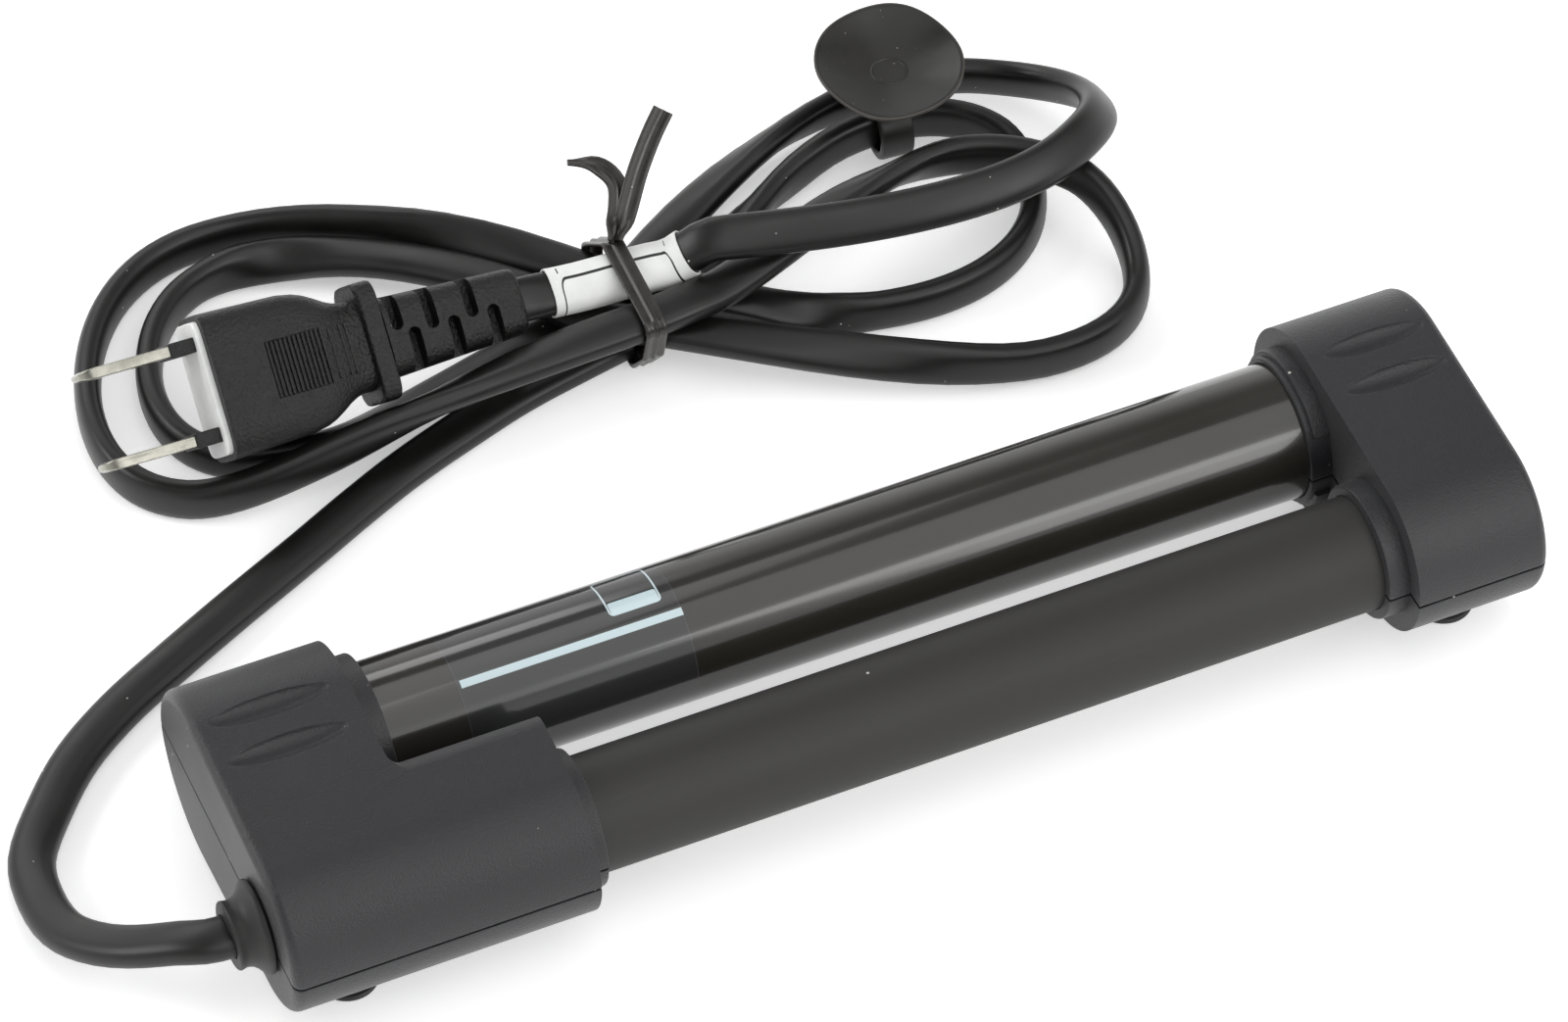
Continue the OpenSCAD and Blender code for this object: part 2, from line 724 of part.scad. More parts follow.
module cord_gland() color([0.13, 0.13, 0.13]) {
    slot_half = (cord_width - cord_thickness) / 2;
    slot = cord_thickness / 2 + 0.15;
    difference() {
        union() {
            rod_x(cap_x0 - 1.2, cap_x0, gland_flange, front_y);
            rod_x(cap_x0 - gland_reach + 1, cap_x0 + cap_wall + 0.05, gland_neck, front_y);
            rod_x(cap_x0 - gland_reach, cap_x0 - gland_reach + 1.2, 5.5, front_y);
            rod_x(cap_x0 + cap_wall + 0.05, cap_x0 + cap_wall + 1.5, 6.4, front_y);
        }
        for (side = [-1, 1]) {
            rod_x(cap_x0 - far, cap_x0 + 10, slot, front_y + side * slot_half);
        }
        box(cap_x0 - far, cap_x0 + 10, front_y - slot_half, front_y + slot_half, axis_height - slot, axis_height + slot);
    }
}

// ---- Wires in the cord end cap ----

wire_x = cap_x0 + 7;
wire_start = cap_x0 + lead_inside;
wire = 0.8;
link_height = axis_height + 5;
joint_radius = 1.4;
joint_length = 6;
joint_clear = 0.5;
joint_y = rear_y - control_radius - joint_clear - joint_length;

module wire_bend(y, z) {
    translate([wire_x, y, z]) sphere(r = wire);
}

module wire_across(y0, y1, z) {
    translate([wire_x, y0, z]) rotate([-90, 0, 0]) cylinder(h = y1 - y0, r = wire);
}

module lead_wires() color([0.55, 0.25, 0.2]) {
    rod_x(wire_start, sleeve_x0 - stopper_flange, wire, front_y - 1.6);
    rod_x(wire_start, wire_x, wire, front_y + 1.6);
    wire_bend(front_y + 1.6, axis_height);
    wire_across(front_y + 1.6, rear_y, axis_height);
    wire_bend(rear_y, axis_height);
    rod_x(wire_x, control_x0 - stopper_flange, wire, rear_y);
    rod_x(wire_x, sleeve_x0 - stopper_flange, wire, front_y, link_height);
    wire_bend(front_y, link_height);
    wire_across(front_y, rear_y, link_height);
    wire_bend(rear_y, link_height);
    rod_x(wire_x, control_x0 - stopper_flange, wire, rear_y, link_height);
}

// Crimped joints, one on each of the two crossing wires
module lead_joints() color([0.75, 0.75, 0.78]) {
    for (z = [axis_height, link_height]) {
        difference() {
            translate([wire_x, joint_y, z]) rotate([-90, 0, 0]) cylinder(h = joint_length, r = joint_radius);
            translate([wire_x, joint_y - 1, z]) rotate([-90, 0, 0])
                cylinder(h = joint_length + 2, r = wire + fit / 2);
        }
    }
}

// ---- Plug ----

// Puts a plug piece in place: X from the relief's end to the face, Y across the blades, Z through the flat side
module at_plug() {
    translate(plug_end) rotate([0, 0, plug_heading]) rotate([0, -plug_rise, 0]) rotate([plug_tilt, 0, 0]) children();
}

// The plug's direction, from its face back to the end of its relief
plug_way = [-cos(plug_heading) * cos(plug_rise), -sin(plug_heading) * cos(plug_rise), -sin(plug_rise)];

// Outline of the grip seen from the flat side
module grip_outline() {
    polygon([
        [plug_face, -10.3], [plug_face, 10.3], [38, 10], [34, 9.9], [31.5, 9.4], [29, 8.2], [27, 7.1], [25.2, 6.6],
        [22, 6.6], [22, -6.6], [25.2, -6.6], [27, -7.1], [29, -8.2], [31.5, -9.4], [34, -9.9], [38, -10],
    ]);
}

module grip_section() {
    half = plug_thickness / 2;
    polygon([
        [-10.4, 3.4 - half], [-7.4, -half], [7.4, -half], [10.4, 3.4 - half],
        [10.4, half - 3.4], [7.4, half], [-7.4, half], [-10.4, half - 3.4],
    ]);
}

module relief_slots() {
    for (i = [0 : 2]) {
        for (side = [-1, 1]) {
            x = 3.4 + i * 5 + (side > 0 ? 1.6 : 0);
            box(x, x + 1.6, side > 0 ? 0.6 : -7, side > 0 ? 7 : -0.6, 3.1, 7);
            box(x, x + 1.6, side > 0 ? 0.6 : -7, side > 0 ? 7 : -0.6, -7, -3.1);
        }
    }
}

module plug_body() color([0.11, 0.11, 0.11]) at_plug() difference() {
    union() {
        intersection() {
            translate([0, 0, -plug_thickness]) linear_extrude(2 * plug_thickness) grip_outline();
            translate([0, 0, 0]) rotate([90, 0, 90]) linear_extrude(60) grip_section();
        }
        box(plug_flange_x, plug_flange_x + plug_flange_length, -8.5, 8.5, -5.6, 5.6);
        rotate([0, 90, 0]) cylinder(h = plug_flange_x + 1, r1 = 4, r2 = 5.6);
        for (i = [0 : 13]) {
            box(31 + i * 0.62, 31.35 + i * 0.62, -4, 4, 5, plug_thickness / 2 + 0.25);
        }
    }
    relief_slots();
    for (side = [-1, 1]) {
        translate([plug_face, side * blade_spacing / 2, 0]) blade_bar(-blade_root - 0.05, 1, 0.05);
    }
}

// Flat bar of a blade between two places along it, wider by a margin
module blade_bar(x0, x1, margin) {
    box(x0, x1, -blade_thickness / 2 - margin, blade_thickness / 2 + margin,
        -blade_width / 2 - margin, blade_width / 2 + margin);
}

module plug_blade(side) color([0.75, 0.74, 0.7]) at_plug() {
    translate([plug_face, side * blade_spacing / 2, 0]) blade_bar(-blade_root, blade_length, 0);
}

module blade_sleeve(side) color([0.12, 0.12, 0.12]) at_plug() {
    translate([plug_face, side * blade_spacing / 2, 0]) difference() {
        blade_bar(plate_thickness, sleeve_on_blade, 0.55);
        blade_bar(0, sleeve_on_blade + 1, 0.05);
    }
}

module plug_blade_left() plug_blade(1);
module plug_blade_right() plug_blade(-1);
module blade_sleeve_left() blade_sleeve(1);
module blade_sleeve_right() blade_sleeve(-1);

module plug_face_plate() color([0.85, 0.85, 0.83]) at_plug() difference() {
    box(plug_face, plug_face + plate_thickness, -9.4, 9.4, 1.7 - plug_thickness / 2, plug_thickness / 2 - 1.7);
    for (side = [-1, 1]) {
        translate([plug_face, side * blade_spacing / 2, 0]) blade_bar(-1, 2, 0.05);
    }
}

// ---- Tail from the plug to the hank ----

tail_end = hank_points[0];
tail_points = [for (i = [0 : 4])
    bezier(plug_end, plug_end + 3.5 * plug_way, tail_end - 3.5 * tail_way, tail_end, i / 4)];
tail_rolls = [for (i = [0 : 4]) along([[0, 41], [0.6, top_roll]], i / 4)];
tail_stations = stations(tail_points, tail_rolls, plug_way, tail_way);

module cord_tail() color([0.1, 0.1, 0.1]) {
    bar(tail_stations, oval, cord_width / 2, cord_thickness / 2);
}
echo(tail_length = run_length(tail_points));

// ---- Label, tie and suction cup on the hank ----

label_stations = concat(
    [tail_stations[2], tail_stations[3]],
    [for (i = [0 : pass_steps + 1]) hank_stations[i]]);

module cord_label() color([0.92, 0.92, 0.9]) {
    wrap(label_stations, oval, cord_width / 2 + 0.12, cord_thickness / 2 + 0.12, 0.25);
}

// Outline of the tie's loop: straight runs between round corners
module tie_outline(r) {
    n = len(tie_corners);
    polygon(tie_corners);
    for (i = [0 : n - 1]) {
        a = tie_corners[i];
        b = tie_corners[(i + 1) % n];
        side = [b[1] - a[1], a[0] - b[0]] / norm(b - a);
        translate(a) circle(r = r);
        polygon([a, b, b + r * side, a + r * side]);
    }
}

knot = [tie_x + 0.6, 79.4, 16.2];
tie_tail_right = [knot, [1.4, 82.4, 18.6], [4.6, 86, 21.6], [8, 89, 24.6], [10.6, 90.9, 26.6]];
tie_tail_left = [knot + [-1, 0, 0], [0.4, 83.4, 18.4], [1.4, 86.6, 20.2], [-0.4, 89.4, 21.6], [-4, 91, 22]];

// Strip with its face towards the front and up
function strip_stations(points) = [for (i = [0 : len(points) - 1])
    let (way = direction(points[min(i + 1, len(points) - 1)] - points[max(i - 1, 0)]))
    let (thin = direction([-0.27, -0.6, 0.75] - way * ([-0.27, -0.6, 0.75] * way)))
    [points[i], cross(thin, way), thin]];

module twist_tie() color([0.12, 0.12, 0.12]) {
    across(tie_x - tie_width / 2, tie_width) difference() {
        tie_outline(tie_corner + tie_thickness);
        tie_outline(tie_corner);
    }
    translate(knot) cube([3, 2.4, 2.4], center = true);
    bar(strip_stations(tie_tail_right), strip, 1.5, tie_thickness / 2);
    bar(strip_stations(tie_tail_left), strip, 1.4, tie_thickness / 2);
}

// The ring of the suction cup holds the cord between two stations of one loop
clip_station = clip_loop * (pass_steps + lobe_steps) + pass_steps + clip_step;
clip_first = hank_points[clip_station];
clip_second = hank_points[clip_station + 1];
clip_place = (clip_first + clip_second) / 2;
clip_way = clip_second - clip_first;
clip_heading = atan2(clip_way[1], clip_way[0]);
echo(clip_place = clip_place, clip_axis = direction(clip_way));

module suction_cup_clip() color([0.15, 0.15, 0.14]) translate(clip_place) {
    cup_radius = cup_diameter / 2;
    difference() {
        union() {
            rotate([0, 0, clip_heading]) rod_x(-clip_width / 2, clip_width / 2, clip_ring_radius, 0, 0);
            translate([0, 0, 4]) cylinder(h = cup_height - 7, r = 2.4);
            rotate_extrude() polygon([
                [0, cup_height - 4.3], [3.2, cup_height - 4.3], [4, cup_height - 3.3],
                [cup_radius - 0.2, cup_height - 0.7], [cup_radius, cup_height - 0.1],
                [cup_radius - 0.4, cup_height], [5, cup_height - 1.4], [0, cup_height - 1.8],
            ]);
        }
        rotate([0, 0, clip_heading]) rod_x(-clip_width, clip_width, clip_bore, 0, 0);
    }
}

// ---- What is drawn ----

cord_cap_upper();
cord_cap_lower();
far_cap_upper();
far_cap_lower();
control_tube();
rating_film();
heater_sleeve();
heater_glass();
ceramic_core();
heating_wire();
control_stopper_cord_end();
control_stopper_far_end();
heater_stopper_cord_end();
heater_stopper_far_end();
circuit_board();
triac();
board_components();
temperature_sensor();
thermal_fuse();
lead_wires();
lead_joints();
cord_gland();
foot_front_cord_end();
foot_rear_cord_end();
foot_front_far_end();
foot_rear_far_end();
cord_lead();
cord_hank();
cord_tail();
cord_label();
twist_tie();
suction_cup_clip();
plug_body();
plug_blade_left();
plug_blade_right();
blade_sleeve_left();
blade_sleeve_right();
plug_face_plate();
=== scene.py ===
import math

import bpy
from mathutils import Matrix, Vector
from mathutils.kdtree import KDTree


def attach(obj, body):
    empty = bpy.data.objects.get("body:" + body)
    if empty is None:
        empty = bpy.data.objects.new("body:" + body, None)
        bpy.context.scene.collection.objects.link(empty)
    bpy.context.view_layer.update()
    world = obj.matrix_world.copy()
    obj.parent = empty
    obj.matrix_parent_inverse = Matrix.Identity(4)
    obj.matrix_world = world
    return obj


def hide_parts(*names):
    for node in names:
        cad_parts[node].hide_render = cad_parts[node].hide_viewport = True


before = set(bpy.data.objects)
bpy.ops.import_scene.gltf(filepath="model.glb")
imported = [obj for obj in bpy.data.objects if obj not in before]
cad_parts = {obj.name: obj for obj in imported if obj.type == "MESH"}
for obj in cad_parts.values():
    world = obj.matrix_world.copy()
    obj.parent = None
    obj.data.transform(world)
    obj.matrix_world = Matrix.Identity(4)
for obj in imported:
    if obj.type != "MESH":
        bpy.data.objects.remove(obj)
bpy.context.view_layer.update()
print("frame loaded")

# Sizes are in millimetres up to the point where vertices are placed.
milli = 0.001
axisHeight = 15.3
rearY = 11.25
frontY = -12.85


# Camera

cameraSpec = {
    "target": (-0.07, 24.93, 15.3),
    "azimuth": -23.98,
    "elevation": 48.65,
    "distance": 956,
    "roll": 0.2,
    "lens": 162.77,
    "sensorWidth": 36,
}


def backVector(azimuth, elevation):
    a, e = math.radians(azimuth), math.radians(elevation)
    return Vector((math.sin(a) * math.cos(e), -math.cos(a) * math.cos(e), math.sin(e)))


def makeCamera(spec):
    data = bpy.data.cameras.new("camera")
    data.sensor_fit = "HORIZONTAL"
    data.sensor_width = spec["sensorWidth"]
    data.lens = spec["lens"]
    data.clip_start = 0.05
    data.clip_end = 20
    camera = bpy.data.objects.new("camera", data)
    bpy.context.scene.collection.objects.link(camera)
    back = backVector(spec["azimuth"], spec["elevation"])
    camera.location = (Vector(spec["target"]) + back * spec["distance"]) * milli
    roll = Matrix.Rotation(math.radians(spec["roll"]), 3, "Z")
    camera.rotation_euler = ((-back).to_track_quat("-Z", "Y").to_matrix() @ roll).to_euler()
    bpy.context.scene.camera = camera


makeCamera(cameraSpec)
print("camera made")


# Mesh helpers


def activate(obj):
    bpy.ops.object.select_all(action="DESELECT")
    obj.select_set(True)
    bpy.context.view_layer.objects.active = obj


def addRing(name, points):
    bpy.ops.object.select_all(action="DESELECT")
    bpy.ops.mesh.primitive_circle_add(vertices=len(points), fill_type="NGON")
    obj = bpy.context.object
    obj.name = name
    for vertex, point in zip(obj.data.vertices, points):
        vertex.co = Vector(point) * milli
    return obj


# Leaves edit mode with every face turned outward
def turnOutward():
    bpy.ops.mesh.select_all(action="SELECT")
    bpy.ops.mesh.normals_make_consistent(inside=False)
    bpy.ops.object.mode_set(mode="OBJECT")


def loft(name, rings):
    obj = addRing(name, rings[0])
    bpy.ops.object.mode_set(mode="EDIT")
    bpy.ops.mesh.select_all(action="SELECT")
    for before, after in zip(rings, rings[1:]):
        bpy.ops.mesh.extrude_region_move()
        bpy.ops.object.mode_set(mode="OBJECT")
        places = KDTree(len(before))
        for k, point in enumerate(before):
            places.insert(Vector(point) * milli, k)
        places.balance()
        for vertex in obj.data.vertices:
            if vertex.select:
                vertex.co = Vector(after[places.find(vertex.co)[1]]) * milli
        bpy.ops.object.mode_set(mode="EDIT")
    turnOutward()
    return obj


# Solid of revolution about the X axis of its own frame, from a closed profile of places and radii
def lathe(name, profile, steps, place):
    obj = addRing(name, [(x, r, 0) for x, r in profile])
    bpy.ops.object.mode_set(mode="EDIT")
    bpy.ops.mesh.select_all(action="SELECT")
    bpy.ops.mesh.delete(type="ONLY_FACE")
    bpy.ops.mesh.select_all(action="SELECT")
    bpy.ops.mesh.spin(steps=steps, angle=2 * math.pi, center=(0, 0, 0), axis=(1, 0, 0))
    bpy.ops.mesh.select_all(action="SELECT")
    bpy.ops.mesh.remove_doubles(threshold=0.000002)
    turnOutward()
    moveMesh(obj, place)
    return obj


def moveMesh(obj, place):
    scaled = place.copy()
    scaled.translation = place.translation * milli
    obj.data.transform(scaled)


def onAxis(y):
    return Matrix.Translation((0, y, axisHeight))


# Cosines and sines of equal steps round a circle
def turns(steps):
    angles = [2 * math.pi * k / steps for k in range(steps)]
    return [(math.cos(a), math.sin(a)) for a in angles]


def rodX(name, x0, x1, radius, y, steps=96):
    ring = [(y + radius * c, axisHeight + radius * s) for c, s in turns(steps)]
    return loft(name, [[(x, *p) for p in ring] for x in (x0, x1)])


def rodZ(name, x, y, z0, z1, radius):
    ring = [(x + radius * c, y + radius * s) for c, s in turns(48)]
    return loft(name, [[(*p, z) for p in ring] for z in (z0, z1)])


def block(name, low, high):
    corners = [(low[0], low[1]), (high[0], low[1]), (high[0], high[1]), (low[0], high[1])]
    return loft(name, [[(*p, z) for p in corners] for z in (low[2], high[2])])


def combine(obj, other, operation):
    activate(obj)
    modifier = obj.modifiers.new("combine", "BOOLEAN")
    modifier.operation = operation
    modifier.solver = "EXACT"
    modifier.object = other
    bpy.ops.object.modifier_apply(modifier="combine")
    bpy.data.objects.remove(other)
    return obj


def cut(obj, *others):
    for other in others:
        combine(obj, other, "DIFFERENCE")
    return obj


def fuse(obj, *others):
    for other in others:
        combine(obj, other, "UNION")
    return obj


def join(obj, *others):
    activate(obj)
    for other in others:
        other.select_set(True)
    bpy.ops.object.join()
    return obj


def bevelEdges(obj, test, width, segments):
    activate(obj)
    bpy.ops.object.mode_set(mode="EDIT")
    bpy.ops.mesh.select_mode(type="EDGE")
    bpy.ops.mesh.select_all(action="DESELECT")
    bpy.ops.object.mode_set(mode="OBJECT")
    for edge in obj.data.edges:
        ends = [obj.data.vertices[i].co / milli for i in edge.vertices]
        edge.select = all(test(end) for end in ends)
    bpy.ops.object.mode_set(mode="EDIT")
    bpy.ops.mesh.bevel(offset=width * milli, segments=segments, affect="EDGES")
    bpy.ops.mesh.select_mode(type="VERT")
    bpy.ops.object.mode_set(mode="OBJECT")
    return obj


def roundSharp(obj, width, segments, angle=40):
    activate(obj)
    modifier = obj.modifiers.new("roundSharp", "BEVEL")
    modifier.width = width * milli
    modifier.segments = segments
    modifier.limit_method = "ANGLE"
    modifier.angle_limit = math.radians(angle)
    bpy.ops.object.modifier_apply(modifier="roundSharp")
    return obj


# The part of a copy of the piece on one side of a level
def keepSide(source, name, height, above):
    activate(source)
    bpy.ops.object.duplicate()
    obj = bpy.context.object
    obj.name = name
    bpy.ops.object.mode_set(mode="EDIT")
    bpy.ops.mesh.select_all(action="SELECT")
    bpy.ops.mesh.bisect(
        plane_co=(0, 0, height * milli),
        plane_no=(0, 0, 1),
        use_fill=True,
        clear_inner=above,
        clear_outer=not above,
    )
    turnOutward()
    return obj


# Large faces decide the shading at their borders, so flat stretches stay flat
def evenNormals(obj):
    modifier = obj.modifiers.new("evenNormals", "WEIGHTED_NORMAL")
    modifier.keep_sharp = True
    modifier.weight = 90
    bpy.ops.object.modifier_apply(modifier="evenNormals")


def settle(obj, name, material, replaced, body="heater", angle=35):
    obj.name = name
    obj.data.name = name
    activate(obj)
    bpy.ops.object.shade_smooth_by_angle(angle=math.radians(angle))
    evenNormals(obj)
    obj.data.materials.clear()
    obj.data.materials.append(material)
    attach(obj, body)
    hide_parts(*replaced)


def addMesh(name, vertices, faces):
    mesh = bpy.data.meshes.new(name)
    mesh.from_pydata(vertices, [], faces)
    obj = bpy.data.objects.new(name, mesh)
    bpy.context.scene.collection.objects.link(obj)
    activate(obj)
    bpy.ops.object.mode_set(mode="EDIT")
    turnOutward()
    return obj


# Skin through a run of sections, used for the cord and the tie
def sweep(name, stations, section, closed=False):
    n = len(section)
    vertices = []
    for point, wide, thin in stations:
        vertices += [(point + wide * w + thin * t) * milli for w, t in section]
    count = len(stations)
    faces = []
    for i in range(count if closed else count - 1):
        for k in range(n):
            a, b = i * n + k, i * n + (k + 1) % n
            c, d = (a + n) % (count * n), (b + n) % (count * n)
            faces.append((a, b, d, c))
    if not closed:
        faces.append(tuple(reversed(range(n))))
        faces.append(tuple(range((count - 1) * n, count * n)))
    return addMesh(name, vertices, faces)


# Node helpers


# Links an output to the socket, or sets a number or a colour on it
def feed(tree, socket, value):
    if isinstance(value, bpy.types.NodeSocket):
        tree.links.new(value, socket)
    else:
        socket.default_value = (*value, 1) if isinstance(value, tuple) else value


def groupNode(tree, group, inputs):
    node = tree.nodes.new("ShaderNodeGroup")
    node.node_tree = group
    for name, value in inputs.items():
        feed(tree, node.inputs[name], value)
    return node


def newGroup(name, inputs, outputs):
    group = bpy.data.node_groups.new(name, "ShaderNodeTree")
    for label, default in inputs:
        socket = group.interface.new_socket(label, in_out="INPUT", socket_type="NodeSocketFloat")
        socket.default_value = default
    for label in outputs:
        group.interface.new_socket(label, in_out="OUTPUT", socket_type="NodeSocketFloat")
    return group, group.nodes.new("NodeGroupInput"), group.nodes.new("NodeGroupOutput")


def mathNode(tree, operation, first, second=None, third=None, clamp=False):
    node = tree.nodes.new("ShaderNodeMath")
    node.operation = operation
    node.use_clamp = clamp
    for socket, value in zip(node.inputs, (first, second, third)):
        if value is not None:
            feed(tree, socket, value)
    return node.outputs[0]


def rangeNode(tree, value, low, high, toLow=0.0, toHigh=1.0, smooth=True):
    node = tree.nodes.new("ShaderNodeMapRange")
    node.interpolation_type = "SMOOTHSTEP" if smooth else "LINEAR"
    tree.links.new(value, node.inputs["Value"])
    for name, number in zip(("From Min", "From Max", "To Min", "To Max"), (low, high, toLow, toHigh)):
        node.inputs[name].default_value = number
    return node.outputs["Result"]


def mixColor(tree, factor, first, second):
    node = tree.nodes.new("ShaderNodeMix")
    node.data_type = "RGBA"
    for name, value in (("Factor", factor), ("A", first), ("B", second)):
        feed(tree, node.inputs[name], value)
    return node.outputs["Result"]


def mapped(tree, scale=(1, 1, 1)):
    place = tree.nodes.new("ShaderNodeTexCoord")
    mapping = tree.nodes.new("ShaderNodeMapping")
    mapping.inputs["Scale"].default_value = scale
    tree.links.new(place.outputs["Object"], mapping.inputs["Vector"])
    return mapping.outputs["Vector"]


def splitPlace(tree, kind="Object"):
    place = tree.nodes.new("ShaderNodeTexCoord")
    parts = tree.nodes.new("ShaderNodeSeparateXYZ")
    tree.links.new(place.outputs[kind], parts.inputs["Vector"])
    return parts.outputs


def noiseNode(tree, vector, scale, detail, roughness=0.55):
    node = tree.nodes.new("ShaderNodeTexNoise")
    inputs = {"Vector": vector, "Scale": scale, "Detail": detail, "Roughness": roughness}
    for name, value in inputs.items():
        feed(tree, node.inputs[name], value)
    return node.outputs["Fac"]


def cellNode(tree, vector, scale, feature="F1"):
    node = tree.nodes.new("ShaderNodeTexVoronoi")
    node.feature = feature
    feed(tree, node.inputs["Vector"], vector)
    feed(tree, node.inputs["Scale"], scale)
    return node


# Moulded surface: a fine spark-eroded height and a slow mottle
def makeGrainGroup():
    inputs = [("Scale", 4000), ("Mottle Scale", 60)]
    group, given, result = newGroup("surfaceGrain", inputs, ["Height", "Mottle"])
    vector = mapped(group)
    fine = noiseNode(group, vector, given.outputs["Scale"], 3.0, 0.6)
    cells = cellNode(group, vector, given.outputs["Scale"], "SMOOTH_F1").outputs["Distance"]
    cells = mathNode(group, "MULTIPLY", cells, 0.4)
    height = mathNode(group, "MULTIPLY_ADD", fine, 0.6, cells)
    group.links.new(height, result.inputs["Height"])
    slow = noiseNode(group, vector, given.outputs["Mottle Scale"], 5.0, 0.6)
    group.links.new(rangeNode(group, slow, 0.3, 0.7), result.inputs["Mottle"])
    return group


# Sparse dust: a few cells hold one small speck each
def makeDustGroup():
    inputs = [("Scale", 900), ("Size", 0.1), ("Share", 0.04)]
    group, given, result = newGroup("dustSpecks", inputs, ["Mask"])
    vector = mapped(group)
    cells = cellNode(group, vector, given.outputs["Scale"])
    split = group.nodes.new("ShaderNodeSeparateColor")
    group.links.new(cells.outputs["Color"], split.inputs["Color"])
    chosen = mathNode(group, "LESS_THAN", split.outputs[0], given.outputs["Share"])
    grown = mathNode(group, "MULTIPLY", given.outputs["Size"], mathNode(group, "ADD", split.outputs[1], 0.4))
    inside = mathNode(group, "LESS_THAN", cells.outputs["Distance"], grown)
    group.links.new(mathNode(group, "MULTIPLY", chosen, inside), result.inputs["Mask"])
    return group


# Scuffs drawn out along X
def makeScuffGroup():
    group, given, result = newGroup("longScuffs", [("Scale", 900)], ["Mask"])
    vector = mapped(group, (0.04, 1, 1))
    lines = noiseNode(group, vector, given.outputs["Scale"], 2.0, 0.5)
    patches = noiseNode(group, mapped(group), 55, 3.0, 0.6)
    sharp = rangeNode(group, lines, 0.56, 0.72)
    scattered = mathNode(group, "MULTIPLY", sharp, rangeNode(group, patches, 0.42, 0.62))
    group.links.new(scattered, result.inputs["Mask"])
    return group


# Distance from the outline of a box with round corners, in the units of U and V
def makePanelGroup():
    names = ["U", "V", "Center U", "Center V", "Half U", "Half V", "Radius"]
    group, given, result = newGroup("roundedPanel", [(name, 0) for name in names], ["Distance"])
    past = []
    for axis in "UV":
        away = mathNode(group, "SUBTRACT", given.outputs[axis], given.outputs["Center " + axis])
        beyond = mathNode(group, "SUBTRACT", mathNode(group, "ABSOLUTE", away), given.outputs["Half " + axis])
        past.append(mathNode(group, "ADD", beyond, given.outputs["Radius"]))
    squares = [mathNode(group, "POWER", mathNode(group, "MAXIMUM", side, 0), 2) for side in past]
    outside = mathNode(group, "SQRT", mathNode(group, "ADD", *squares))
    inside = mathNode(group, "MINIMUM", mathNode(group, "MAXIMUM", *past), 0)
    total = mathNode(group, "ADD", outside, inside)
    distance = mathNode(group, "SUBTRACT", total, given.outputs["Radius"])
    group.links.new(distance, result.inputs["Distance"])
    return group


grainGroup = makeGrainGroup()
dustGroup = makeDustGroup()
scuffGroup = makeScuffGroup()
panelGroup = makePanelGroup()


# Half the width of the soft border of printed lines, in millimetres
printSoft = 0.03


# Masks of a panel: middle and half size along and round, corner radius, all in millimetres
def panelDistance(tree, u, v, middle, half, radius):
    return groupNode(tree, panelGroup, {
        "U": u, "V": v, "Center U": middle[0], "Center V": middle[1],
        "Half U": half[0], "Half V": half[1], "Radius": radius,
    }).outputs["Distance"]


def panelFill(tree, distance, soft=printSoft):
    return rangeNode(tree, distance, -soft, soft, 1.0, 0.0)


def panelLine(tree, distance, halfWidth):
    away = mathNode(tree, "ABSOLUTE", distance)
    return rangeNode(tree, away, halfWidth - printSoft, halfWidth + printSoft, 1.0, 0.0)


def newMaterial(name, roughness, metallic=0.0, coat=0.0, coatRoughness=0.05, ior=1.5):
    material = bpy.data.materials.new(name)
    material.use_nodes = True
    tree = material.node_tree
    shader = tree.nodes["Principled BSDF"]
    constants = {
        "Roughness": roughness, "Metallic": metallic, "Coat Weight": coat,
        "Coat Roughness": coatRoughness, "IOR": ior,
    }
    for name, value in constants.items():
        shader.inputs[name].default_value = value
    return material, tree, shader


def paint(tree, shader, color, roughness):
    tree.links.new(color, shader.inputs["Base Color"])
    tree.links.new(roughness, shader.inputs["Roughness"])


def bumpNode(tree, shader, height, strength, distance):
    bump = tree.nodes.new("ShaderNodeBump")
    bump.inputs["Strength"].default_value = strength
    bump.inputs["Distance"].default_value = distance * milli
    tree.links.new(height, bump.inputs["Height"])
    tree.links.new(bump.outputs["Normal"], shader.inputs["Normal"])


# What a moulded or extruded material has unless its own dictionary says something else
mouldedSpec = {
    "coat": 0, "ior": 1.5, "sheen": 0, "mottle": 60, "bumpSize": 0.03, "scuffs": 0,
    "dustShare": 0.01, "dustScale": 700, "dustSize": 0.11, "dustColor": (0.5, 0.48, 0.45),
}


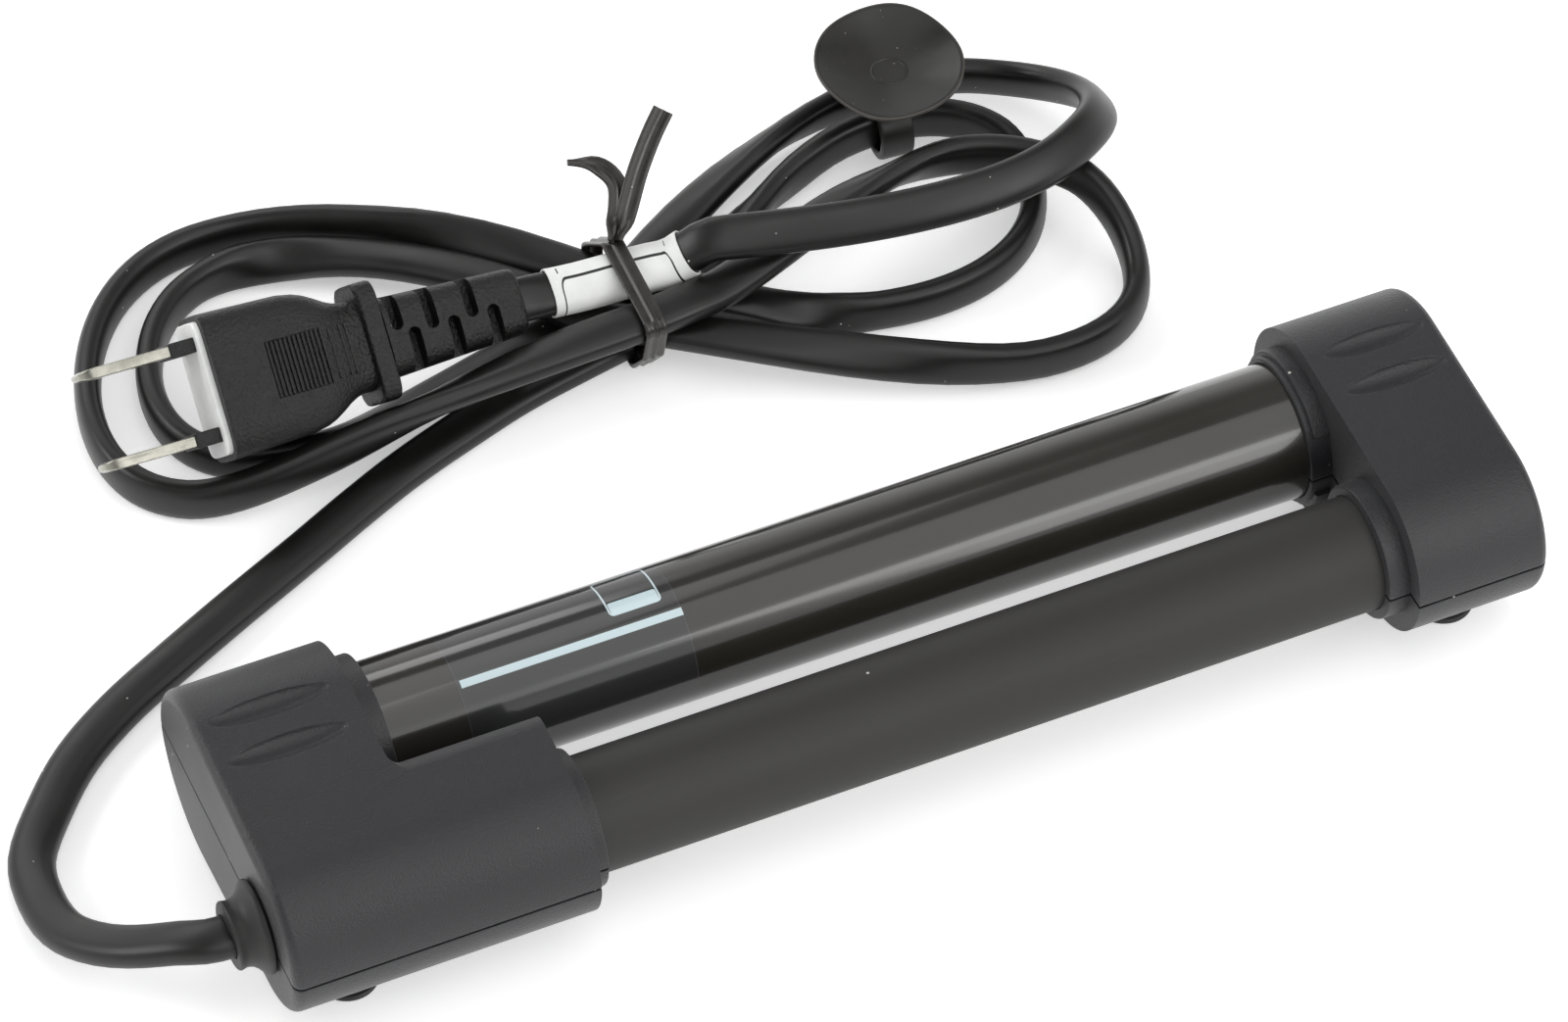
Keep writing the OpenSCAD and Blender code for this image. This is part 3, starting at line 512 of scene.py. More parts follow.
# Moulded or extruded material with grain, mottle, scuffs and dust
def moulded(name, own):
    spec = {**mouldedSpec, **own}
    material, tree, shader = newMaterial(name, spec["roughness"][0], coat=spec["coat"], ior=spec["ior"])
    shader.inputs["Sheen Weight"].default_value = spec["sheen"]
    shader.inputs["Sheen Roughness"].default_value = 0.4
    grain = groupNode(tree, grainGroup, {"Scale": spec["grain"], "Mottle Scale": spec["mottle"]})
    color = mixColor(tree, grain.outputs["Mottle"], spec["color"], spec["second"])
    rough = rangeNode(tree, grain.outputs["Mottle"], 0, 1, *spec["roughness"], smooth=False)
    if spec["scuffs"]:
        scuff = groupNode(tree, scuffGroup, {"Scale": spec["scuffs"]})
        faint = mathNode(tree, "MULTIPLY", scuff.outputs["Mask"], spec["scuffStrength"])
        color = mixColor(tree, faint, color, (0.16, 0.16, 0.165))
        rough = mathNode(tree, "ADD", rough, mathNode(tree, "MULTIPLY", faint, 0.25), clamp=True)
    dust = groupNode(tree, dustGroup, {
        "Scale": spec["dustScale"], "Size": spec["dustSize"], "Share": spec["dustShare"],
    }).outputs["Mask"]
    color = mixColor(tree, dust, color, spec["dustColor"])
    paint(tree, shader, color, mathNode(tree, "MAXIMUM", rough, mathNode(tree, "MULTIPLY", dust, 0.8)))
    bumpNode(tree, shader, grain.outputs["Height"], spec["bump"], spec["bumpSize"])
    return material


capPlastic = moulded("capPlastic", {
    "color": (0.0105, 0.0105, 0.0125), "second": (0.0125, 0.0125, 0.0148), "roughness": (0.42, 0.47),
    "grain": 3600, "mottle": 45, "bump": 0.9, "bumpSize": 0.13, "dustShare": 0.012, "sheen": 0.12,
})
sleevePlastic = moulded("sleevePlastic", {
    "color": (0.0145, 0.0135, 0.0125), "second": (0.016, 0.0148, 0.0136), "roughness": (0.56, 0.62),
    "grain": 2600, "mottle": 14, "bump": 0.25, "scuffs": 900, "scuffStrength": 0.025, "dustShare": 0.02,
})
rubber = moulded("blackRubber", {
    "color": (0.0075, 0.0072, 0.0068), "second": (0.0115, 0.011, 0.0105), "roughness": (0.46, 0.6),
    "grain": 2600, "mottle": 180, "bump": 0.35, "bumpSize": 0.035, "dustShare": 0.06, "dustScale": 1100,
})
cupRubber = moulded("cupRubber", {
    "color": (0.0062, 0.0058, 0.005), "second": (0.0105, 0.0098, 0.0085), "roughness": (0.36, 0.52),
    "grain": 2600, "mottle": 130, "bump": 0.35, "bumpSize": 0.04, "dustShare": 0.14, "dustScale": 1300,
    "dustSize": 0.09, "dustColor": (0.3, 0.28, 0.25),
})
cordPvc = moulded("cordPvc", {
    "color": (0.004, 0.0038, 0.0036), "second": (0.0058, 0.0056, 0.0052), "roughness": (0.34, 0.42),
    "grain": 2200, "mottle": 90, "bump": 0.14, "dustShare": 0.03, "dustScale": 900, "ior": 1.46,
})
plugPlastic = moulded("plugPlastic", {
    "color": (0.0042, 0.004, 0.0038), "second": (0.0062, 0.006, 0.0057), "roughness": (0.4, 0.48),
    "grain": 2300, "mottle": 120, "bump": 1.0, "bumpSize": 0.3, "dustShare": 0.012, "ior": 1.42,
})
tiePlastic = moulded("tiePlastic", {
    "color": (0.02, 0.0175, 0.0155), "second": (0.029, 0.026, 0.023), "roughness": (0.26, 0.36),
    "grain": 1500, "mottle": 400, "bump": 0.25, "bumpSize": 0.05,
})
boardLaminate = moulded("boardLaminate", {
    "color": (0.01, 0.08, 0.03), "second": (0.013, 0.1, 0.04), "roughness": (0.3, 0.4),
    "grain": 1500, "bump": 0.2,
})
componentPlastic = moulded("componentPlastic", {
    "color": (0.02, 0.02, 0.022), "second": (0.03, 0.03, 0.03), "roughness": (0.4, 0.5),
    "grain": 3000, "bump": 0.3,
})
ceramicWhite = moulded("ceramicWhite", {
    "color": (0.72, 0.7, 0.64), "second": (0.8, 0.78, 0.72), "roughness": (0.6, 0.75),
    "grain": 1800, "bump": 0.4, "dustColor": (0.4, 0.36, 0.3),
})
sensorResin = moulded("sensorResin", {
    "color": (0.35, 0.13, 0.04), "second": (0.42, 0.17, 0.06), "roughness": (0.15, 0.25),
    "grain": 900, "bump": 0.1, "coat": 0.4,
})
wireInsulation = moulded("wireInsulation", {
    "color": (0.3, 0.03, 0.02), "second": (0.36, 0.05, 0.03), "roughness": (0.35, 0.45),
    "grain": 1500, "bump": 0.1,
})
facePlastic = moulded("facePlastic", {
    "color": (0.78, 0.79, 0.78), "second": (0.85, 0.86, 0.85), "roughness": (0.3, 0.42),
    "grain": 1400, "mottle": 500, "bump": 0.2, "dustShare": 0.06, "dustColor": (0.1, 0.1, 0.1),
})


# Metal with fine drawn lines along X and a mottled tarnish
def metal(name, spec):
    material, tree, shader = newMaterial(name, spec["roughness"][0], metallic=1.0)
    mottle = groupNode(tree, grainGroup, {"Scale": 2500, "Mottle Scale": 220}).outputs["Mottle"]
    scuff = groupNode(tree, scuffGroup, {"Scale": 2600}).outputs["Mask"]
    color = mixColor(tree, mottle, spec["color"], spec["second"])
    color = mixColor(tree, mathNode(tree, "MULTIPLY", scuff, 0.5), color, spec["line"])
    rough = rangeNode(tree, mottle, 0, 1, *spec["roughness"], smooth=False)
    paint(tree, shader, color, mathNode(tree, "MULTIPLY_ADD", scuff, 0.15, rough))
    bumpNode(tree, shader, scuff, 0.2, 0.02)
    return material


nickel = metal("nickel", {
    "color": (0.28, 0.275, 0.235), "second": (0.42, 0.41, 0.36), "line": (0.12, 0.115, 0.095),
    "roughness": (0.2, 0.34),
})
brightMetal = metal("brightMetal", {
    "color": (0.6, 0.6, 0.62), "second": (0.7, 0.7, 0.71), "line": (0.3, 0.3, 0.3),
    "roughness": (0.2, 0.32),
})
heatingAlloy = metal("heatingAlloy", {
    "color": (0.42, 0.34, 0.26), "second": (0.5, 0.42, 0.33), "line": (0.2, 0.15, 0.1),
    "roughness": (0.3, 0.45),
})


def clearGlass(name):
    material, tree, shader = newMaterial(name, 0.03, ior=1.47)
    shader.inputs["Transmission Weight"].default_value = 0.9
    mottle = groupNode(tree, grainGroup, {"Scale": 900, "Mottle Scale": 90}).outputs["Mottle"]
    color = mixColor(tree, mottle, (0.85, 0.9, 0.88), (0.9, 0.93, 0.92))
    paint(tree, shader, color, rangeNode(tree, mottle, 0, 1, 0.02, 0.06))
    return material


coreGlass = clearGlass("clearGlass")
print("materials made")


# Cord: one length from the cord end cap through the hank to the plug

hankSpec = {
    "middle": (-2, 72),
    "passHalf": 6,
    "topRoll": 20,
    "passSteps": 6,
    "lobeSteps": 72,
    # Side offset, height, heading, turn at the left, turn at the right, lean along X and Y
    "passes": [
        (4.5, 12.2, -4, 0, -6, 0, 0),
        (3.8, 2.9, 27, -12, 8, 2.3, 7.2),
        (-3.8, 7.2, -36, -17, 0, 1.2, 3.6),
        (-3.8, 11.5, 4, -2, 4, 0, 0),
        (3.8, 7.2, -36, -13, 3, 1.2, 3.6),
        (-3.8, 2.9, 25, -15, 12, 2.3, 7.2),
    ],
    # Pass it leaves, pass it returns to, side, reach out, reach back, pull along X and Y
    "lobes": [
        (0, 1, 1, 36, 144, 9, -34),
        (1, 2, -1, 104, 136, 8, -20),
        (2, 3, 1, 178, 50, -12, 41),
        (3, 4, -1, 121, 163, 14, -32),
        (4, 5, 1, 50, 122, 1, -21),
    ],
    "heights": [
        [(0, 12.2), (0.06, 16.2), (0.3, 16.9), (0.42, 16.8), (0.75, 4.6), (0.9, 4.2), (1, 2.9)],
        [(0, 2.9), (0.12, 3.3), (0.8, 3.3), (1, 7.2)],
        [(0, 7.2), (0.16, 3.3), (0.28, 3.3), (0.48, 10.2), (0.96, 10.9), (1, 11.5)],
        [(0, 11.5), (0.3, 3.3), (0.8, 3.3), (1, 7.2)],
        [(0, 7.2), (0.14, 3.3), (0.55, 3.3), (0.66, 5), (0.86, 5), (0.94, 3.3), (1, 2.9)],
    ],
    "rolls": [
        [(0, 20), (0.15, 45), (0.5, 45), (0.72, 80), (0.86, 80), (1, 0)],
        [(0, 0), (0.32, 90), (0.72, 90), (0.9, 0), (1, 0)],
        [(0, 0), (0.14, 90), (0.62, 90), (0.84, 8), (1, 0)],
        [(0, 0), (0.16, 90), (0.9, 90), (1, 0)],
        [(0, 0), (0.06, 0), (0.2, 90), (0.9, 90), (1, 0)],
    ],
}
cordSpec = {
    # Half width, half thickness and fullness
    "section": (3.2, 1.9, 2.5),
    "exit": (-90, frontY, axisHeight),
    "mouth": (-94.6, frontY, axisHeight),
    "inside": (-86.2, frontY, axisHeight),
    "leadStep": 2.2,
    # How straight the tail leaves the plug and the hank, its steps, and its length inside the plug
    "tailPull": 3.5,
    "tailSteps": 8,
    "tailInside": 3,
    "bend": [
        (-2.9, 0.45, -0.1), (-6.1, 2.45, -1.1), (-9.4, 4.85, -2.8), (-12.5, 7.85, -4.8),
        (-15.2, 11.75, -7), (-17.2, 16.8, -9.3), (-17.6, 24, -11.5), (-16.2, 31.8, -12.8),
    ],
    "onTable": [
        (-105.2, 27, 2.1), (-99.3, 33.2, 2.1), (-91.2, 38.9, 2.1), (-81.5, 44, 2.1), (-70.5, 49.4, 2.1),
        (-58.1, 55.2, 2.1), (-49, 59.6, 2.1), (-40, 63.6, 2.1), (-30, 67.2, 2.1), (-20.5, 70.1, 2.3),
        (-11.5, 71.8, 2.7),
    ],
}
plugSpec = {
    "end": (-18, 77.1, 13.2),
    "heading": 182.1,
    "rise": 4.7,
    "tilt": -41,
}


def unit(angle):
    return Vector((math.cos(math.radians(angle)), math.sin(math.radians(angle))))


def ease(share):
    s = min(max(share, 0), 1)
    return s * s * (3 - 2 * s)


def bezier(a, b, c, d, t):
    return a * (1 - t) ** 3 + b * 3 * (1 - t) ** 2 * t + c * 3 * (1 - t) * t * t + d * t**3


def valueAlong(table, t):
    for (t0, v0), (t1, v1) in zip(table, table[1:]):
        if t <= t1:
            return v0 + (v1 - v0) * ease((t - t0) / (t1 - t0))
    return table[-1][1]


def passEnd(k, side):
    offset, _, heading, _, _, leanX, leanY = hankSpec["passes"][k]
    along = unit(heading)
    across = Vector((-along.y, along.x))
    middle = Vector(hankSpec["middle"]) + Vector((leanX, leanY))
    return middle + offset * across + side * hankSpec["passHalf"] * along


def passWay(k, side):
    spec = hankSpec["passes"][k]
    return unit(spec[2] + spec[3 if side < 0 else 4])


def passRun(k, way):
    left, right = passEnd(k, -1), passEnd(k, 1)
    pull = hankSpec["passHalf"] * 2 / 3
    steps = hankSpec["passSteps"]
    run = []
    for i in range(steps + 1):
        t = i / steps if way > 0 else 1 - i / steps
        p = bezier(left, left + pull * passWay(k, -1), right - pull * passWay(k, 1), right, t)
        run.append((Vector((p.x, p.y, hankSpec["passes"][k][1])), hankSpec["topRoll"] if k == 0 else 0))
    return run


def lobeRun(n):
    start, stop, side, reachOut, reachBack, pullX, pullY = hankSpec["lobes"][n]
    a, b = passEnd(start, side), passEnd(stop, side)
    out = a + side * reachOut * passWay(start, side)
    back = b + side * reachBack * passWay(stop, side)
    run = []
    for i in range(1, hankSpec["lobeSteps"]):
        t = i / hankSpec["lobeSteps"]
        p = bezier(a, out, back, b, t) + 16 * t * t * (1 - t) ** 2 * Vector((pullX, pullY))
        height = valueAlong(hankSpec["heights"][n], t)
        run.append((Vector((p.x, p.y, height)), valueAlong(hankSpec["rolls"][n], t)))
    return run


# Smooth points through a run, with each stretch cut into steps
def smoothRun(points, stepLength):
    padded = [2 * points[0] - points[1], *points, 2 * points[-1] - points[-2]]
    run = []
    for a, b, c, d in zip(padded, padded[1:], padded[2:], padded[3:]):
        gaps = [max(math.sqrt((q - p).length), 1e-6) for p, q in ((a, b), (b, c), (c, d))]
        first = (b - a) / gaps[0] - (c - a) / (gaps[0] + gaps[1]) + (c - b) / gaps[1]
        second = (c - b) / gaps[1] - (d - b) / (gaps[1] + gaps[2]) + (d - c) / gaps[2]
        first, second = first * gaps[1], second * gaps[1]
        steps = max(2, round((c - b).length / stepLength))
        for i in range(steps):
            t = i / steps
            run.append(bezier(b, b + first / 3, c - second / 3, c, t))
    return run + [points[-1]]


# Points with the cord's wide axis and its way, from points and rolls
def stationsOf(run, firstWay, lastWay):
    between = [c[0] - a[0] for a, c in zip(run, run[2:])]
    ways = [way.normalized() for way in (firstWay, *between, lastWay)]
    found = []
    for (point, roll), way in zip(run, ways):
        side = Vector((-way.y, way.x, 0)).normalized()
        up = way.cross(side)
        turn = math.radians(roll)
        found.append((point, side * math.cos(turn) + up * math.sin(turn), way))
    return found


# Keeps the wide axis from jumping over and squares the thin one to it
def steady(stations):
    found = []
    last = None
    for point, wide, way in stations:
        if last is not None and wide.dot(last) < 0:
            wide = -wide
        last = wide
        found.append((point, wide, way.cross(wide).normalized(), way))
    return found


def roundedSection(halfWidth, halfThickness, fullness, count):
    power = 2 / fullness
    section = []
    for c, s in turns(count):
        section.append((
            math.copysign(abs(c) ** power * halfWidth, c),
            math.copysign(abs(s) ** power * halfThickness, s),
        ))
    return section


hankRun = (
    passRun(0, 1) + lobeRun(0) + passRun(1, -1) + lobeRun(1) + passRun(2, 1) + lobeRun(2)
    + passRun(3, -1) + lobeRun(3) + passRun(4, 1) + lobeRun(4) + passRun(5, -1)
)
tailWay = Vector((*passWay(0, -1), 0))
leadWay = -Vector((*passWay(5, -1), 0))
hankStations = stationsOf(hankRun, tailWay, leadWay)

plugPlace = (
    Matrix.Translation(plugSpec["end"])
    @ Matrix.Rotation(math.radians(plugSpec["heading"]), 4, "Z")
    @ Matrix.Rotation(math.radians(-plugSpec["rise"]), 4, "Y")
    @ Matrix.Rotation(math.radians(plugSpec["tilt"]), 4, "X")
)
plugEnd = Vector(plugSpec["end"])
plugWay = -(plugPlace.to_3x3() @ Vector((1, 0, 0)))
tailEnd = hankRun[0][0]
tailRun = []
pull = cordSpec["tailPull"]
for i in range(cordSpec["tailSteps"] + 1):
    t = i / cordSpec["tailSteps"]
    point = bezier(plugEnd, plugEnd + pull * plugWay, tailEnd - pull * tailWay, tailEnd, t)
    tailRun.append((point, valueAlong([(0, 41), (0.6, hankSpec["topRoll"])], t)))
tailStations = stationsOf(tailRun, plugWay, tailWay)

mouth = Vector(cordSpec["mouth"])
leadPoints = (
    [Vector(cordSpec["inside"]), Vector(cordSpec["exit"]), mouth]
    + [mouth + Vector(p) for p in cordSpec["bend"]]
    + [Vector(p) for p in cordSpec["onTable"]]
    + [hankRun[-1][0]]
)
leadRun = [(p, 0) for p in smoothRun(leadPoints, cordSpec["leadStep"])]
leadStations = stationsOf(leadRun, Vector((-1, 0, 0)), -leadWay)

# From the cap to the plug, with the last bit of the tail inside the plug's relief
plugSide = [(plugEnd - plugWay * cordSpec["tailInside"], tailStations[0][1], plugWay)]
cordStations = steady(
    leadStations + list(reversed(hankStations))[1:] + list(reversed(tailStations))[1:] + plugSide
)
oval = roundedSection(*cordSpec["section"], 24)
mainsCord = sweep("mainsCord", [(p, w, t) for p, w, t, _ in cordStations], oval)
settle(mainsCord, "mainsCord", cordPvc, ["cord_lead", "cord_hank", "cord_tail"], angle=60)
cordPath = [p * milli for p, _, _, _ in cordStations]
cordLength = sum((b - a).length for a, b in zip(cordPath, cordPath[1:]))
print("cord made, length", round(cordLength, 4))


# Label wrapped round the cord next to the plug

labelSpec = {
    "gap": 0.12,
    "wall": 0.25,
    "tailFrom": 4,
    "hankTo": 8,
    "length": 20.9,
    "girth": 19.3,
    # Middle, half size and corner radius of the printed frame, and the two marks above it
    "frame": ((10.6, 9.9), (8.6, 5.6), 1.3),
    "marks": [((2.1, 2.9), (0.14, 0.6), 0.05), ((18.8, 2.9), (0.14, 0.6), 0.05)],
    "line": 0.15,
    "ink": (0.012, 0.012, 0.012),
}


def labelMesh():
    run = tailStations[labelSpec["tailFrom"] : -1] + hankStations[: labelSpec["hankTo"] + 1]
    stations = [(p, w, t) for p, w, t, _ in steady(run)]
    halfWidth, halfThickness, fullness = cordSpec["section"]
    n = 32
    inner, outer = [
        roundedSection(halfWidth + grown, halfThickness + grown, fullness, n)
        for grown in (labelSpec["gap"], labelSpec["gap"] + labelSpec["wall"])
    ]
    rings = len(stations)
    vertices = []
    for section in (outer, inner):
        for point, wide, thin in stations:
            vertices += [(point + wide * w + thin * t) * milli for w, t in section]
    faces = []
    shift = rings * n
    for i in range(rings - 1):
        for k in range(n):
            a, b = i * n + k, i * n + (k + 1) % n
            faces.append((a, b, b + n, a + n))
            faces.append((b + shift, a + shift, a + n + shift, b + n + shift))
    for k in range(n):
        c = (k + 1) % n
        last = (rings - 1) * n
        faces.append((c, k, k + shift, c + shift))
        faces.append((last + k, last + c, last + c + shift, last + k + shift))
    obj = addMesh("cordLabel", vertices, faces)
    mesh = obj.data
    layer = mesh.uv_layers.new(name="wrap")
    for polygon in mesh.polygons:
        ks = [mesh.loops[j].vertex_index % n for j in polygon.loop_indices]
        wraps = max(ks) - min(ks) > n / 2
        for j in polygon.loop_indices:
            index = mesh.loops[j].vertex_index % shift
            ring, k = divmod(index, n)
            v = (k + n if wraps and k < n / 2 else k) / n
            layer.data[j].uv = (ring / (rings - 1), v)
    return obj


def makeLabelPaper():
    material, tree, shader = newMaterial("labelPaper", 0.45)
    grain = groupNode(tree, grainGroup, {"Scale": 1600, "Mottle Scale": 300})
    paper = mixColor(tree, grain.outputs["Mottle"], (0.74, 0.75, 0.73), (0.81, 0.82, 0.8))
    wrap = tree.nodes.new("ShaderNodeUVMap")
    wrap.uv_map = "wrap"
    parts = tree.nodes.new("ShaderNodeSeparateXYZ")
    tree.links.new(wrap.outputs["UV"], parts.inputs["Vector"])
    u = mathNode(tree, "MULTIPLY", parts.outputs["X"], labelSpec["length"])
    v = mathNode(tree, "MULTIPLY", parts.outputs["Y"], labelSpec["girth"])
    ink = panelLine(tree, panelDistance(tree, u, v, *labelSpec["frame"]), labelSpec["line"])
    for mark in labelSpec["marks"]:
        ink = mathNode(tree, "MAXIMUM", ink, panelFill(tree, panelDistance(tree, u, v, *mark)))
    color = mixColor(tree, ink, paper, labelSpec["ink"])
    paint(tree, shader, color, rangeNode(tree, grain.outputs["Mottle"], 0, 1, 0.38, 0.5))
    bumpNode(tree, shader, grain.outputs["Height"], 0.15, 0.03)
    return material


labelPaper = makeLabelPaper()
cordLabel = labelMesh()
settle(cordLabel, "cordLabel", labelPaper, ["cord_label"], angle=50)


# Twist tie: a strap round the strands, twisted on top, with two loose ends

tieSpec = {
    "x": -2,
    "corners": [(70.7, 2.2), (85.9, 2.2), (85.9, 7.9), (79.4, 14), (65.6, 12.6), (67, 7.2)],
    "cornerRadius": 1.3,
    "halfThickness": 0.3,
    "halfWidth": 1.6,
    "ridge": 0.3,
    # Each loose end's half width, twist along it, and way
    "ends": [
        (1.5, [(0, -70), (0.22, 0), (1, 0)], [
            (-1.4, 79.4, 16.2), (1.4, 82.4, 18.6), (4.6, 86, 21.6), (8, 89, 24.6), (10.6, 90.9, 26.6),
        ]),
        (1.4, [(0, 80), (0.25, 0), (0.6, 0), (1, 80)], [
            (-2.4, 79.4, 16.2), (0.4, 83.4, 18.4), (1.4, 86.6, 20.2), (-0.4, 89.4, 21.6), (-4, 91, 22),
        ]),
    ],
}


# Flat strip with thick borders and a thin wire's ridge along its middle
def stripSection(halfWidth):
    halfThickness, ridge = tieSpec["halfThickness"], tieSpec["ridge"]
    shares = [(1, 0.35), (0.95, 0.8), (0.8, 1.1), (0.6, 0.95), (0.42, 0.5)]
    top = [(halfWidth * w, halfThickness * t) for w, t in shares]
    top += [(ridge * 1.3, halfThickness * 0.5), (ridge * 0.7, halfThickness * 1.1), (0, halfThickness + 0.14)]
    upper = top + [(-w, t) for w, t in reversed(top[:-1])]
    return upper + [(w, -t) for w, t in reversed(upper)]


def tieLoopStations():
    corners = [Vector(c) for c in tieSpec["corners"]]
    radius = tieSpec["cornerRadius"] + tieSpec["halfThickness"]
    stations = []
    n = len(corners)
    for i, corner in enumerate(corners):
        into = (corner - corners[i - 1]).normalized()
        out = (corners[(i + 1) % n] - corner).normalized()
        first = math.atan2(-into.x, into.y)
        second = math.atan2(-out.x, out.y)
        while second < first:
            second += 2 * math.pi
        for step in range(7):
            angle = first + (second - first) * step / 6
            outward = Vector((0, math.cos(angle), math.sin(angle)))
            point = Vector((tieSpec["x"], corner.x, corner.y)) + outward * radius
            stations.append((point, Vector((1, 0, 0)), outward))
    return stations


def stripStations(points, twist):
    run = smoothRun([Vector(p) for p in points], 0.8)
    facing = Vector((-0.27, -0.6, 0.75))
    found = []
    for i, point in enumerate(run):
        way = (run[min(i + 1, len(run) - 1)] - run[max(i - 1, 0)]).normalized()
        thin = (facing - way * facing.dot(way)).normalized()
        wide = thin.cross(way)
        turn = math.radians(valueAlong(twist, i / (len(run) - 1)))
        c, s = math.cos(turn), math.sin(turn)
        found.append((point, wide * c + thin * s, thin * c - wide * s))
    return found


twistTie = sweep("tieLoop", tieLoopStations(), stripSection(tieSpec["halfWidth"]), closed=True)
for halfWidth, twist, points in tieSpec["ends"]:
    join(twistTie, sweep("tieEnd", stripStations(points, twist), stripSection(halfWidth)))
settle(twistTie, "twistTie", tiePlastic, ["twist_tie"], angle=40)
print("label and tie made")


# Suction cup with the ring that holds the cord

cupSpec = {
    "place": (47.2331, 94.966, 5),
    "heading": math.degrees(math.atan2(0.073146, -0.997321)),
    "ringRadius": 4.8,
    "bore": 3.5,
    "halfWidth": 2.5,
    "rimRadius": 10.75,
    "height": 12.3,
    # Lift of the warped rim: its height, the way it faces and how many times it goes round
    "warp": [(0.6, 0, 0), (0.8, 106, 1), (0.3, 60, 3), (0.16, 56, 5)],
}
upright = Matrix(((0, -1, 0, 0), (0, 0, 1, 0), (1, 0, 0, 0), (0, 0, 0, 1)))


def makeCup(spec):
    top, rim = spec["height"], spec["rimRadius"]
    profile = [
        (top - 4.3, 0), (top - 4.3, 2.6), (top - 4.1, 3.2), (top - 3.3, 4.4), (top - 2.2, 7), (top - 1.3, 9),
        (top - 0.75, rim - 0.25), (top - 0.45, rim), (top - 0.1, rim), (top, rim - 0.25), (top, rim - 0.7),
        (top - 0.25, rim - 1.2), (top - 0.7, 7.6), (top - 1.15, 5.6), (top - 1.5, 3.1), (top - 1.52, 2.75),
        (top - 1.4, 2.6), (top - 1.4, 2.4), (top - 1.56, 2.25), (top - 1.6, 0),
    ]
    disc = lathe("cupDisc", profile, 96, upright)
    for vertex in disc.data.vertices:
        angle = math.atan2(vertex.co.y, vertex.co.x)
        share = (math.hypot(vertex.co.x, vertex.co.y) / milli / rim) ** 2.5
        for lift, facing, waves in spec["warp"]:
            vertex.co.z += lift * milli * share * math.cos(waves * (angle - math.radians(facing)))
    stem = rodZ("cupStem", 0, 0, 3.6, top - 3.9, 2.4)
    w, r = spec["halfWidth"], spec["ringRadius"]
    ring = lathe("cupRing", [
        (-w, spec["bore"] + 0.25), (-w, r - 0.5), (-w + 0.15, r - 0.15), (-w + 0.5, r), (w - 0.5, r),
        (w - 0.15, r - 0.15), (w, r - 0.5), (w, spec["bore"] + 0.25), (w - 0.25, spec["bore"]),
        (-w + 0.25, spec["bore"]),
    ], 72, Matrix.Rotation(math.radians(spec["heading"]), 4, "Z"))
    cup = fuse(disc, stem, ring)
    moveMesh(cup, Matrix.Translation(spec["place"]))
    return cup


# Pale worn line round the rim
def paintRim(material, spec):
    tree = material.node_tree
    shader = tree.nodes["Principled BSDF"]
    squares = []
    for part, middle in zip(splitPlace(tree)[:2], spec["place"]):
        away = mathNode(tree, "SUBTRACT", mathNode(tree, "DIVIDE", part, milli), middle)
        squares.append(mathNode(tree, "POWER", away, 2))
    radius = mathNode(tree, "SQRT", mathNode(tree, "ADD", *squares))
    rim = rangeNode(tree, radius, spec["rimRadius"] - 0.4, spec["rimRadius"] - 0.12)
    color = shader.inputs["Base Color"].links[0].from_socket
    tree.links.new(mixColor(tree, rim, color, (0.055, 0.05, 0.044)), shader.inputs["Base Color"])


paintRim(cupRubber, cupSpec)
suctionCup = makeCup(cupSpec)
settle(suctionCup, "suctionCup", cupRubber, ["suction_cup_clip"], "suction_cup", 40)
print("suction cup made")


# Plug: strain relief, flange and grip in one moulding

bladeSpec = {
    "spacing": 12.7,
    "face": 46.1,
    "root": 9,
    "length": 17.6,
    "halfWidth": 3.15,
    "halfThickness": 0.75,
    # Half thickness and half width of the openings the blades go through
    "opening": (0.8, 3.2),
    "sleeve": 4.5,
    "sleeveWall": 0.3,
}
plugShape = {
    # Place along the plug, half width, half thickness, fullness of the section
    "relief": [
        (0, 4.25, 4.05, 4), (0.3, 4.6, 4.4, 4), (0.8, 4.75, 4.5, 4), (8, 5.1, 4.75, 4), (14, 5.4, 5.0, 4),
        (20.6, 5.75, 5.25, 4),
    ],
    "flange": [
        (20.6, 7.9, 5.0, 7), (20.9, 8.4, 5.5, 7), (21.2, 8.5, 5.6, 7), (23.0, 8.5, 5.6, 7),
        (23.3, 8.4, 5.5, 7), (23.6, 7.9, 5.0, 7),
    ],
    "grip": [
        (23.4, 6.5, 4.7, 4), (25.2, 6.45, 4.8, 4), (26.4, 6.8, 5.05, 4), (27.6, 7.35, 5.4, 4),
        (29, 8.2, 5.85, 4.2), (30.4, 8.95, 6.2, 4.4), (31.8, 9.45, 6.4, 4.6), (34, 9.85, 6.5, 5),
        (38, 10, 6.5, 5), (42, 10.15, 6.5, 5), (45.6, 10.28, 6.5, 5), (46.0, 10.2, 6.42, 5),
        (46.1, 10.0, 6.25, 5),
    ],
    # Place along the plug, side, reach past the middle
    "slots": [
        (4.8, 1, 0.5), (10.8, 1, 0.5), (16.8, 1, 0.5), (7.8, -1, 0.5), (13.8, -1, 0.5), (18.9, -1, -0.6),
    ],
    "slotRadius": 0.95,
    "slotLevels": (2.1, 7),
    # First and last place, half width, and the levels between which it is cut out
    "panel": (29.9, 38.4, 4.0, 6.05, 8),
    "ribs": 13,
    "ribLevels": (5.95, 6.45),
    # Half width, gap to the panel's sides and rounding of the ribs
    "ribSize": (0.17, 0.12, 0.07),
    # Places of the shoulder's ribs; their half width, half length, depth, height and rounding
    "shoulderRibs": [28.9, 28.0, 27.1, 26.2],
    "shoulderRibSize": (0.2, 3.6, 0.6, 0.12, 0.1),
}


